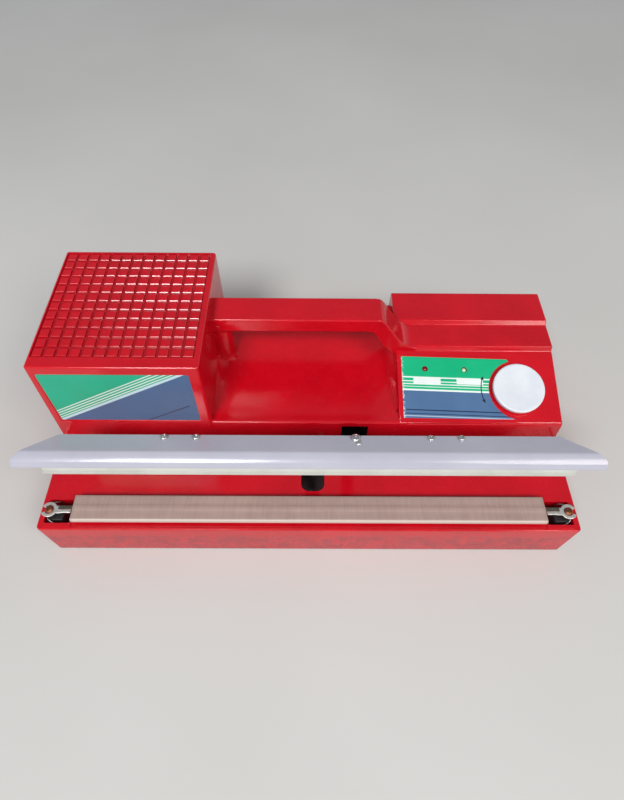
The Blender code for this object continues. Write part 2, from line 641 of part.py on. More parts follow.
def build_bar_screws():
    steel = material("bar_screw_steel", (0.62, 0.6, 0.6), 0.25, 1.0)
    top = bar_top_z
    head = [(0, 45.8), (1.3, 45.8), (1.3, top + 0.3), (2.3, top + 0.3), (2.2, top + 1.0), (1.6, top + 1.5),
            (0.8, top + 1.75), (0, top + 1.8)]
    for number, x in enumerate(bar_screw_places()):
        screw = turned("bar_screw_%d" % (number + 1), head, steel, (x, 21.0, 0.0), steps=16)
        swing(screw)
    long_head = [(0, 39.6), (1.4, 39.6), (1.4, top + 0.3), (2.9, top + 0.3), (2.8, top + 1.1),
                 (2.0, top + 1.8), (0.9, top + 2.05), (0, top + 2.1)]
    swing(turned("strap_screw", long_head, steel, (strap_x, strap_screw_y, 0.0), steps=16))
    nut = [(2.0, 41.6), (2.9, 41.6), (2.9, 43.9), (2.0, 43.9)]
    swing(turned("strap_nut", nut, steel, (strap_x, strap_screw_y, 0.0), steps=6))


def build_strap():
    """Striker: a bent strip from under the bar, through the window, to the switch."""
    dark = material("strap_steel", (0.06, 0.06, 0.065), 0.45, 1.0)
    line = [(18.9, 45.4), (27.6, 45.3), (30.6, 43.6), (37.8, 36.8), (49.1, 29.2), (60.3, 24.7), (70.0, 22.4),
            (81.0, 21.5)]
    strap = prism("striker_strap", offset_path(line, [0.7] * len(line)), strap_x - 4.0, strap_x + 4.0, dark)
    combine(strap, rod("tool", 1.8, (strap_x, strap_screw_y, 40.0), (strap_x, strap_screw_y, 60.0), dark, 12))
    swing(strap)


def build_switch():
    black = material("switch_case", (0.03, 0.03, 0.032), 0.4)
    cap = material("plunger_plastic", (0.5, 0.03, 0.03), 0.4)
    steel = material("switch_sheet", (0.55, 0.55, 0.56), 0.36, 1.0)
    outline = [(64.0, 3.3), (91.0, 3.3), (91.0, 4.7), (89.0, 4.7), (89.0, 6.6), (66.0, 6.6), (66.0, 4.7),
               (64.0, 4.7)]
    prism("switch_bracket", outline, strap_x - 5.0, strap_x + 5.0, steel)
    case = box("switch_body", (strap_x - 3.3, 67.6, 6.9), (strap_x + 3.3, 87.4, 16.4), black, 0.4)
    combine(case, rod("tool", 1.7, (strap_x, 76.0, 12.0), (strap_x, 76.0, 20.0), black, 14))
    # drawn out, as it stands with the press open
    plunger = rod("switch_plunger", 1.3, (strap_x, 76.0, 13.8), (strap_x, 76.0, 21.6), cap, 14)
    put_origin(plunger, (strap_x, 76.0, 16.4))


def build_return_spring():
    wire = material("spring_wire", (0.6, 0.6, 0.62), 0.3, 1.0)
    turns = 7
    per_turn = 14
    low = 4.2
    high = 20.0
    coil = []
    for k in range(turns * per_turn + 1):
        a = math.tau * k / per_turn
        z = low + (high - low) * k / (turns * per_turn)
        coil.append((slot_centre_x + 3.4 * math.cos(a), 126.6 + 3.4 * math.sin(a), z))
    tube_along("return_spring", coil, 0.5, wire, 5)


def build_heater():
    alloy = material("heater_alloy", (0.55, 0.56, 0.58), 0.38, 1.0)
    band = material("heating_alloy", (0.5, 0.46, 0.42), 0.35, 1.0)
    cloth = material("glass_cloth", (0.42, 0.32, 0.24), 0.5)
    half = strip_length / 2.0
    y0 = strip_front_y
    y1 = strip_back_y
    rail = [(8.0, deck_z + 0.3), (16.5, deck_z + 0.3), (16.5, 33.4), (y1 - 0.7, 34.2), (y1 - 0.7, 36.4),
            (y0 + 0.7, 36.4), (y0 + 0.7, 34.2), (8.0, 33.4)]
    prism("heater_bar", rail, -half + 0.3, half - 0.3, alloy)
    box("heating_band", (-148.4, 11.0, 36.75), (148.4, 13.4, 36.95), band)
    outer = [(y0, 34.0), (y0, 36.9), (y0 + 0.8, 37.4), (10.2, 37.5), (11.2, strip_top_z),
             (13.2, strip_top_z), (14.2, 37.5), (y1 - 0.8, 37.4), (y1, 36.9), (y1, 34.0)]
    inner = [(y1 - 0.35, 34.0), (y1 - 0.35, 36.8), (y1 - 1.0, 37.05), (14.0, 37.15), (13.0, 37.3),
             (11.4, 37.3), (10.4, 37.15), (y0 + 1.0, 37.05), (y0 + 0.35, 36.8), (y0 + 0.35, 34.0)]
    prism("cover_cloth", outer + inner, -half, half, cloth)


def lug_outline(side):
    """Fork lug seen from above: a stem, then a ring with its mouth to the outside."""
    cx = 0.0
    ring = arc((cx, 0.0), 5.0, 155.0, 34.0, 9)
    bore = arc((cx, 0.0), 2.7, 34.0, 326.0, 15)
    ring_low = arc((cx, 0.0), 5.0, 326.0, 205.0, 9)
    outline = [(-13.0, 2.1)] + ring + bore + ring_low + [(-13.0, -2.1)]
    return [(side * (terminal_x + x), terminal_y + y) for x, y in outline]


def build_terminals():
    nickel = material("lug_nickel", (0.62, 0.62, 0.6), 0.3, 1.0)
    brass = material("stud_brass", (0.5, 0.28, 0.16), 0.38, 1.0)
    block = material("carrier_plastic", (0.03, 0.028, 0.028), 0.5)
    wire = material("hairpin_wire", (0.4, 0.4, 0.42), 0.35, 1.0)
    for name, side in (("left", -1), ("right", 1)):
        xs = sorted((side * 146.6, side * 155.9))
        box("terminal_block_" + name, (xs[0], 6.8, 22.4), (xs[1], 16.4, 31.6), block, 0.5)
        profile = [(0, 31.9), (2.2, 31.9), (2.2, 36.9), (1.8, 37.3), (0, 37.3)]
        turned("terminal_stud_" + name, profile, brass, (side * 154.1, terminal_y, 0.0), steps=16)
        prism("terminal_lug_" + name, lug_outline(side), 34.8, 35.6, nickel, "Z")
        bend = arc((154.3, terminal_y), 6.7, 80.0, -80.0, 11)
        route = [(side * 143.0, terminal_y + 6.9, 33.2), (side * 149.0, terminal_y + 6.9, 33.2)]
        route += [(side * (x - 1.6), y, 33.2) for x, y in bend]
        route += [(side * 149.0, terminal_y - 6.9, 33.2), (side * 143.0, terminal_y - 6.9, 33.2)]
        tube_along("hairpin_spring_" + name, route, 0.45, wire, 6)


def build_wiring():
    red_wire = material("lead_red", (0.5, 0.02, 0.02), 0.5)
    black_wire = material("lead_black", (0.02, 0.02, 0.02), 0.5)
    left = [(-149.8, terminal_y, 19.0), (-149.8, 14.0, 12.0), (-140.0, 34.0, 7.0), (-128.0, 62.0, 8.0),
            (-118.0, 78.0, 20.0), (-114.0, 82.0, 36.0), (-112.0, 85.2, 44.0)]
    right = [(149.8, terminal_y, 19.0), (149.8, 14.0, 12.0), (132.0, 24.0, 8.0), (60.0, 22.0, 7.0),
             (-30.0, 22.0, 7.0), (-70.0, 50.0, 8.0), (-96.0, 74.0, 20.0), (-101.0, 82.0, 36.0),
             (-103.0, 85.2, 44.0)]
    tube_along("secondary_lead_left", smooth_path(left, 5), 1.2, red_wire, 6)
    tube_along("secondary_lead_right", smooth_path(right, 5), 1.2, black_wire, 6)


def build_inlet():
    rubber = material("gland_rubber", (0.02, 0.02, 0.022), 0.6)
    profile = [(3.2, 0.0), (6.6, 0.0), (7.2, 1.0), (7.2, 2.4), (5.1, 2.4), (5.1, 7.2), (3.2, 7.2)]
    turned("cord_gland", profile, rubber, (118.0, 164.4, 20.0), (0.0, -1.0, 0.0), 20)


def centre_frame():
    """Hang every piece on an empty that puts the origin under the middle of the footprint."""
    frame = bpy.data.objects.new("frame", None)
    bpy.context.scene.collection.objects.link(frame)
    frame.location = (0.0, -front_to_centre * 0.001, 0.0)
    for obj in bpy.data.objects:
        if obj is not frame:
            obj.parent = frame


def main():
    clear_scene()
    build_shell()
    build_base()
    build_labels()
    build_indicators()
    build_timer_knob()
    build_board()
    build_transformer()
    build_pivot()
    build_lever()
    build_bar()
    build_jaw()
    build_bar_screws()
    build_strap()
    build_switch()
    build_return_spring()
    build_heater()
    build_terminals()
    build_wiring()
    build_inlet()
    centre_frame()


main()
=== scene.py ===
import json
import math

import bmesh
import bpy
from mathutils import Matrix, Vector


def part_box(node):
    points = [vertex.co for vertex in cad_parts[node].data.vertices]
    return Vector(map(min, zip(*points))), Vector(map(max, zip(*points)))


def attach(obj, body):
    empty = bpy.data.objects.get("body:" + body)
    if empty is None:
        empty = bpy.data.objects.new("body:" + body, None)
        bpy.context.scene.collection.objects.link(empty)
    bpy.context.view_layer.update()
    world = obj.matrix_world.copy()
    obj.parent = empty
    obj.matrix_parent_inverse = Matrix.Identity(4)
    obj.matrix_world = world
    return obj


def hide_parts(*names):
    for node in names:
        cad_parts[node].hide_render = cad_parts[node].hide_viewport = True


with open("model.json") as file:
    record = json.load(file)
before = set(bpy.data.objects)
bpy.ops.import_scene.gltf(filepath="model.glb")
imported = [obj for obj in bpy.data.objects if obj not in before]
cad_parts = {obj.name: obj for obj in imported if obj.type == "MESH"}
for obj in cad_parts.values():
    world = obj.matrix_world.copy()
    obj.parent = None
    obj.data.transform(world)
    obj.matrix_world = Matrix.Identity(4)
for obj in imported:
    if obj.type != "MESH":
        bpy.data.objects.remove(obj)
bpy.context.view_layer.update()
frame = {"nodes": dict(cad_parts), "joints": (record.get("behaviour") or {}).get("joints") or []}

# Everything is drawn in millimetres: X to the right, Y back from the front lip, Z up from the table.
layout = {
    "lipToMiddle": 82.5,    # the model's origin lies this far behind the front lip
    "openAngle": 20,        # the press is drawn shut, then swung open by this
    "panelFootY": 63.0,     # where the control panel starts
}
joints = {joint["name"]: joint for joint in frame["joints"]}
lipShift = Vector((0, layout["lipToMiddle"], 0))


def nodeBox(name):
    low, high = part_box(name)
    return low * 1000 + lipShift, high * 1000 + lipShift


def jointPlace(name):
    return Vector(joints[name]["pos_m"]) * 1000 + lipShift


hingePlace = jointPlace("press_hinge")
knobPlace = jointPlace("timer_turn")
panelOut = Vector(joints["timer_turn"]["axis"]).normalized()
panelUp = Vector((0, panelOut.z, -panelOut.y))
knobAlong = (knobPlace.y - layout["panelFootY"]) / panelUp.y


def onPanel(x, along, height=0):
    return knobPlace + Vector((x - knobPlace.x, 0, 0)) + panelUp * (along - knobAlong) + panelOut * height


print("frame loaded, hinge at", [round(v, 2) for v in hingePlace])


def colourOf(code):
    # sRGB hex to the linear values that Blender works in
    parts = [int(code[i:i + 2], 16) / 255 for i in (1, 3, 5)]
    return (*[p / 12.92 if p <= 0.04045 else ((p + 0.055) / 1.055) ** 2.4 for p in parts], 1)


def addNode(tree, kind, settings={}, sockets={}):
    node = tree.nodes.new(kind)
    for name, value in settings.items():
        setattr(node, name, value)
    for name, value in sockets.items():
        if isinstance(value, bpy.types.NodeSocket):
            tree.links.new(value, node.inputs[name])
        else:
            node.inputs[name].default_value = value
    return node


def startMaterial(name, fixed):
    # fixed holds what is the same all over, set on the shader's own sockets
    material = bpy.data.materials.new(name)
    material.use_nodes = True
    tree = material.node_tree
    shader = tree.nodes["Principled BSDF"]
    for socket, value in fixed.items():
        shader.inputs[socket].default_value = value
    place = addNode(tree, "ShaderNodeTexCoord").outputs["Object"]
    return material, tree, shader, place


def setStops(node, stops, style="LINEAR"):
    ramp = node.color_ramp
    ramp.interpolation = style
    while len(ramp.elements) > 1:
        ramp.elements.remove(ramp.elements[-1])
    ramp.elements[0].position = stops[0][0]
    ramp.elements[0].color = colourOf(stops[0][1])
    for position, code in stops[1:]:
        ramp.elements.new(position).color = colourOf(code)
    return node.outputs["Color"]


def boxBetween(low, high):
    bm = bmesh.new()
    size = [high[i] - low[i] for i in range(3)]
    middle = [(high[i] + low[i]) / 2 for i in range(3)]
    bmesh.ops.create_cube(bm, size=1, matrix=Matrix.Translation(middle) @ Matrix.Diagonal((*size, 1)))
    return bm


def draftedBox(foot, top, heights):
    # foot and top are each ((x0, y0), (x1, y1))
    bm = bmesh.new()
    bmesh.ops.create_cube(bm, size=1)
    for vert in bm.verts:
        (x0, y0), (x1, y1) = top if vert.co.z > 0 else foot
        vert.co = (x1 if vert.co.x > 0 else x0, y1 if vert.co.y > 0 else y0,
            heights[1] if vert.co.z > 0 else heights[0])
    return bm


def bevelEdges(bm, edges, size, steps):
    bmesh.ops.bevel(bm, geom=edges, offset=size, segments=steps, profile=0.5, affect="EDGES", material=-1,
                    clamp_overlap=True)


def edgesOver(bm, degrees):
    bmesh.ops.recalc_face_normals(bm, faces=bm.faces)
    limit = math.radians(degrees)
    return [e for e in bm.edges if len(e.link_faces) == 2 and e.calc_face_angle(0) > limit]


def uprightEdges(bm):
    return [e for e in bm.edges if abs(e.verts[0].co.z - e.verts[1].co.z) > 5]


def extrudedOutline(points, axis, low, high):
    # on axis X the outline is (Y, Z), on Y it is (X, Z), on Z it is (X, Y)
    bm = bmesh.new()
    order = {"X": lambda a, b, t: (t, a, b), "Y": lambda a, b, t: (a, t, b), "Z": lambda a, b, t: (a, b, t)}[axis]
    face = bm.faces.new([bm.verts.new(order(a, b, low)) for a, b in points])
    moved = bmesh.ops.extrude_face_region(bm, geom=[face])["geom"]
    bmesh.ops.translate(bm, vec=order(0, 0, high - low),
        verts=[v for v in moved if isinstance(v, bmesh.types.BMVert)])
    bmesh.ops.recalc_face_normals(bm, faces=bm.faces)
    return bm


def spunProfile(profile, steps, centre=(0, 0, 0), direction=(0, 0, 1)):
    # profile is (radius, height) pairs; one that stays off the axis is closed into a ring
    bm = bmesh.new()
    verts = [bm.verts.new((r, 0, h)) for r, h in profile]
    edges = [bm.edges.new(pair) for pair in zip(verts, verts[1:])]
    if profile[0][0] > 0.0001:
        edges.append(bm.edges.new((verts[-1], verts[0])))
    bmesh.ops.spin(bm, geom=verts + edges, cent=(0, 0, 0), axis=(0, 0, 1), angle=math.tau, steps=steps,
        use_merge=True)
    bmesh.ops.remove_doubles(bm, verts=bm.verts, dist=0.001)
    turn = Vector((0, 0, 1)).rotation_difference(Vector(direction)).to_matrix().to_4x4()
    bmesh.ops.transform(bm, matrix=Matrix.Translation(centre) @ turn, verts=bm.verts)
    bmesh.ops.recalc_face_normals(bm, faces=bm.faces)
    return bm


def smoothLine(points, perSpan):
    # Catmull-Rom through the points
    points = [Vector(p) for p in points]
    ends = [points[0] * 2 - points[1], *points, points[-1] * 2 - points[-2]]
    line = []
    for a, b, c, d in zip(ends, ends[1:], ends[2:], ends[3:]):
        for k in range(perSpan):
            t = k / perSpan
            straight = 2 * b + (c - a) * t
            line.append(0.5 * (straight + (2 * a - 5 * b + 4 * c - d) * t * t + (3 * b - a - 3 * c + d) * t ** 3))
    return [tuple(p) for p in line] + [tuple(points[-1])]


def sweptWire(points, radius, sides=10):
    # a round wire along a line of points, its ends closed
    points = [Vector(p) for p in points]
    bm = bmesh.new()
    rings = []
    side = None
    for i, point in enumerate(points):
        ahead = (points[min(i + 1, len(points) - 1)] - points[max(i - 1, 0)]).normalized()
        side = ahead.orthogonal().normalized() if side is None else (side - ahead * side.dot(ahead)).normalized()
        other = ahead.cross(side)
        turns = [math.tau * k / sides for k in range(sides)]
        rings.append([bm.verts.new(point + side * radius * math.cos(a) + other * radius * math.sin(a))
            for a in turns])
    for a, b in zip(rings, rings[1:]):
        for k in range(sides):
            bm.faces.new((a[k], a[(k + 1) % sides], b[(k + 1) % sides], b[k]))
    bm.faces.new(rings[0][::-1])
    bm.faces.new(rings[-1])
    return bm


def arcPoints(centre, radius, start, end, count):
    turns = [math.radians(start + (end - start) * k / (count - 1)) for k in range(count)]
    return [(centre[0] + radius * math.cos(a), centre[1] + radius * math.sin(a)) for a in turns]


def combined(bm, tool, operation="DIFFERENCE"):
    # cut or join two closed meshes; both are used up
    work = []
    for each in (bm, tool):
        bmesh.ops.recalc_face_normals(each, faces=each.faces)
        mesh = bpy.data.meshes.new("work")
        each.to_mesh(mesh)
        each.free()
        work.append(bpy.data.objects.new("work", mesh))
        bpy.context.scene.collection.objects.link(work[-1])
    modifier = work[0].modifiers.new("work", "BOOLEAN")
    modifier.object = work[1]
    modifier.operation = operation
    modifier.solver = "EXACT"
    graph = bpy.context.evaluated_depsgraph_get()
    result = bmesh.new()
    made = bpy.data.meshes.new_from_object(work[0].evaluated_get(graph))
    result.from_mesh(made)
    bpy.data.meshes.remove(made)
    for each in work:
        mesh = each.data
        bpy.data.objects.remove(each)
        bpy.data.meshes.remove(mesh)
    return result


def joinMeshes(target, *others):
    # lay more closed shapes into the same piece, uncut
    for other in others:
        mesh = bpy.data.meshes.new("work")
        other.to_mesh(mesh)
        other.free()
        target.from_mesh(mesh)
        bpy.data.meshes.remove(mesh)
    return target


def swungOpen(bm):
    turn = Matrix.Rotation(math.radians(-layout["openAngle"]), 4, "X")
    bmesh.ops.transform(bm, matrix=Matrix.Translation(hingePlace) @ turn @ Matrix.Translation(-hingePlace),
        verts=bm.verts)
    return bm


def laidOnPanel(bm):
    # a shape drawn flat as X, along, height goes onto the sloping panel
    foot = onPanel(0, 0)
    turn = Matrix((Vector((1, 0, 0)), panelUp, panelOut)).transposed().to_4x4()
    bmesh.ops.transform(bm, matrix=Matrix.Translation(foot) @ turn, verts=bm.verts)
    return bm


def makePiece(name, bm, material, body, replaced=(), sharp=35, weighted=False):
    bmesh.ops.remove_doubles(bm, verts=bm.verts, dist=0.0005)
    bmesh.ops.recalc_face_normals(bm, faces=bm.faces)
    bmesh.ops.translate(bm, vec=-lipShift, verts=bm.verts)
    bmesh.ops.scale(bm, vec=(0.001, 0.001, 0.001), verts=bm.verts)
    mesh = bpy.data.meshes.new(name)
    bm.to_mesh(mesh)
    bm.free()
    mesh.materials.append(material)
    piece = bpy.data.objects.new(name, mesh)
    bpy.context.scene.collection.objects.link(piece)
    mesh.shade_smooth()
    mesh.set_sharp_from_angle(angle=math.radians(sharp))
    if weighted:
        modifier = piece.modifiers.new("evenNormals", "WEIGHTED_NORMAL")
        modifier.keep_sharp = True
    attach(piece, body)
    if replaced:
        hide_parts(*replaced)
    return piece


redPlastic = {
    # scuff is the colour of the haze low down, partly real scuffing and partly a painted reflection of the floor
    "deep": "#bf0719", "bright": "#cc0a1e", "dust": "#c98088", "scuff": "#7d434d", "pit": "#5e0711",
    # groove is the colour of the painted shade in the grooves between the grip pads
    "groove": "#5a0510",
    "mottle": 0.03,               # metres across one cloud of colour
    "peel": 0.0016,               # metres between ripples of the moulded skin; real ones are nearer 0.4 mm
    "specksPerMetre": 420, "dustShare": 0.05,
    "rubsPerMetre": (60, 500, 500), "rubTurn": 0.5,
    "roughness": (0.12, 0.22),
    "scuffAndReflectionHeights": (0.026, 0.019),    # the scuffed haze, partly a painted reflection of the floor, starts here and is full here, in metres
    "blotchesPerMetre": 190, "scuffAndReflectionShare": (0.08, 0.5), "hazeRoughness": 0.4,
    "pitsPerMetre": 330, "pitShare": 0.45,
    "grooveShadeShare": 0.34,
    "wavesPerMetre": 60, "waveWeight": 8, "relief": 0.25, "depth": 0.000008,
}


def mouldedRed(name, skirtScuffAndReflection, shadeHeights=None):
    # gloss ABS from a polished mould: deep even red, soft wide highlights, a rippled skin, rubbed and dusty low down,
    # where the rubbed haze is partly a painted reflection of the floor
    material, tree, shader, place = startMaterial(name, {"IOR": 1.53, "Specular IOR Level": 0.5})
    clouds = addNode(tree, "ShaderNodeTexNoise", {}, {
        "Vector": place, "Scale": 1 / redPlastic["mottle"], "Detail": 4, "Roughness": 0.6})
    tint = addNode(tree, "ShaderNodeValToRGB", {}, {"Fac": clouds.outputs["Fac"]})
    base = setStops(tint, [(0.35, redPlastic["deep"]), (0.65, redPlastic["bright"])])
    specks = addNode(tree, "ShaderNodeTexNoise", {}, {
        "Vector": place, "Scale": redPlastic["specksPerMetre"], "Detail": 3, "Roughness": 0.7})
    dustMask = addNode(tree, "ShaderNodeMapRange", {"clamp": True}, {
        "Value": specks.outputs["Fac"], "From Min": 0.56, "From Max": 0.8, "To Max": redPlastic["dustShare"]})
    dusted = addNode(tree, "ShaderNodeMix", {"data_type": "RGBA"}, {
        "Factor": dustMask.outputs["Result"], "A": base, "B": colourOf(redPlastic["dust"])})
    colour = dusted.outputs["Result"]
    streaks = addNode(tree, "ShaderNodeMapping", {}, {
        "Vector": place, "Scale": redPlastic["rubsPerMetre"], "Rotation": (0, 0, redPlastic["rubTurn"])})
    rubbed = addNode(tree, "ShaderNodeTexNoise", {}, {
        "Vector": streaks.outputs["Vector"], "Scale": 1, "Detail": 5, "Roughness": 0.65})
    glossy, dull = redPlastic["roughness"]
    shine = addNode(tree, "ShaderNodeMapRange", {"clamp": True}, {
        "Value": rubbed.outputs["Fac"], "From Min": 0.35, "From Max": 0.75, "To Min": glossy, "To Max": dull})
    roughness = shine.outputs["Result"]
    axes = addNode(tree, "ShaderNodeSeparateXYZ", {}, {"Vector": place})
    # low down: a duller scuffed haze whose colour is partly a painted reflection of the floor, and dark pits
    if skirtScuffAndReflection:
        start, full = redPlastic["scuffAndReflectionHeights"]
        low = addNode(tree, "ShaderNodeMapRange", {"clamp": True, "interpolation_type": "SMOOTHSTEP"}, {
            "Value": axes.outputs["Z"], "From Min": start, "From Max": full})
        blotches = addNode(tree, "ShaderNodeTexNoise", {}, {
            "Vector": place, "Scale": redPlastic["blotchesPerMetre"], "Detail": 6, "Roughness": 0.72})
        thin, thick = redPlastic["scuffAndReflectionShare"]
        spots = addNode(tree, "ShaderNodeMapRange", {"clamp": True}, {
            "Value": blotches.outputs["Fac"], "From Min": 0.42, "From Max": 0.58, "To Min": thin, "To Max": thick})
        scuffAndReflection = addNode(tree, "ShaderNodeMath", {"operation": "MULTIPLY"}, {
            0: low.outputs["Result"], 1: spots.outputs["Result"]})
        scuffedAndReflecting = addNode(tree, "ShaderNodeMix", {"data_type": "RGBA"}, {
            "Factor": scuffAndReflection.outputs["Value"], "A": colour, "B": colourOf(redPlastic["scuff"])})
        pits = addNode(tree, "ShaderNodeTexNoise", {}, {
            "Vector": place, "Scale": redPlastic["pitsPerMetre"], "Detail": 3, "Roughness": 0.6})
        pitMask = addNode(tree, "ShaderNodeMapRange", {"clamp": True}, {
            "Value": pits.outputs["Fac"], "From Min": 0.6, "From Max": 0.68, "To Max": redPlastic["pitShare"]})
        lowPits = addNode(tree, "ShaderNodeMath", {"operation": "MULTIPLY"}, {
            0: low.outputs["Result"], 1: pitMask.outputs["Result"]})
        pitted = addNode(tree, "ShaderNodeMix", {"data_type": "RGBA"}, {
            "Factor": lowPits.outputs["Value"], "A": scuffedAndReflecting.outputs["Result"], "B": colourOf(redPlastic["pit"])})
        colour = pitted.outputs["Result"]
        duller = addNode(tree, "ShaderNodeMath", {"operation": "MULTIPLY_ADD"}, {
            0: scuffAndReflection.outputs["Value"], 1: redPlastic["hazeRoughness"], 2: roughness})
        roughness = duller.outputs["Value"]
    if shadeHeights:
        # painted shade in the grooves between the pads, darkest at their floor and gone just below their tops
        floorZ, unshadedZ = (z * 0.001 for z in shadeHeights)
        grooveShade = addNode(tree, "ShaderNodeMapRange", {"clamp": True, "interpolation_type": "SMOOTHSTEP"}, {
            "Value": axes.outputs["Z"], "From Min": unshadedZ, "From Max": floorZ, "To Max": redPlastic["grooveShadeShare"]})
        grooveShaded = addNode(tree, "ShaderNodeMix", {"data_type": "RGBA"}, {
            "Factor": grooveShade.outputs["Result"], "A": colour, "B": colourOf(redPlastic["groove"])})
        colour = grooveShaded.outputs["Result"]
    tree.links.new(colour, shader.inputs["Base Color"])
    tree.links.new(roughness, shader.inputs["Roughness"])
    ripples = addNode(tree, "ShaderNodeTexNoise", {}, {"Vector": place, "Scale": 1 / redPlastic["peel"], "Detail": 2})
    waves = addNode(tree, "ShaderNodeTexNoise", {}, {
        "Vector": place, "Scale": redPlastic["wavesPerMetre"], "Detail": 1})
    heights = addNode(tree, "ShaderNodeMath", {"operation": "MULTIPLY_ADD"}, {
        0: waves.outputs["Fac"], 1: redPlastic["waveWeight"], 2: ripples.outputs["Fac"]})
    bump = addNode(tree, "ShaderNodeBump", {}, {
        "Height": heights.outputs["Value"], "Strength": redPlastic["relief"], "Distance": redPlastic["depth"]})
    tree.links.new(bump.outputs["Normal"], shader.inputs["Normal"])
    return material


def plainFinish(name, look):
    # one body colour drifting between two shades, a grain in the roughness and a fine relief
    material, tree, shader, place = startMaterial(name, look.get("fixed", {}))
    stretch = addNode(tree, "ShaderNodeMapping", {}, {"Vector": place, "Scale": look.get("stretch", (1, 1, 1))})
    clouds = addNode(tree, "ShaderNodeTexNoise", {}, {"Vector": place, "Scale": 1 / look["cloud"], "Detail": 5,
        "Roughness": 0.6})
    tint = addNode(tree, "ShaderNodeValToRGB", {}, {"Fac": clouds.outputs["Fac"]})
    base = setStops(tint, [(0.3, look["dark"]), (0.7, look["light"])])
    grain = addNode(tree, "ShaderNodeTexNoise", {}, {"Vector": stretch.outputs["Vector"], "Scale": 1 / look["grain"],
        "Detail": 4, "Roughness": 0.65})
    if "wear" in look:
        worn = addNode(tree, "ShaderNodeMapRange", {"clamp": True},
            {"Value": grain.outputs["Fac"], "From Min": 0.56, "From Max": 0.72, "To Min": 0,
            "To Max": look.get("wearShare", 0.4)})
        mixed = addNode(tree, "ShaderNodeMix", {"data_type": "RGBA"},
            {"Factor": worn.outputs["Result"], "A": base, "B": colourOf(look["wear"])})
        base = mixed.outputs["Result"]
    low, high = look["roughness"]
    shine = addNode(tree, "ShaderNodeMapRange", {"clamp": True},
        {"Value": grain.outputs["Fac"], "From Min": 0.3, "From Max": 0.7, "To Min": low, "To Max": high})
    bump = addNode(tree, "ShaderNodeBump", {}, {"Height": grain.outputs["Fac"], "Strength": look.get("relief", 0.3),
        "Distance": look.get("depth", 0.00002)})
    tree.links.new(base, shader.inputs["Base Color"])
    tree.links.new(shine.outputs["Result"], shader.inputs["Roughness"])
    tree.links.new(bump.outputs["Normal"], shader.inputs["Normal"])
    return material


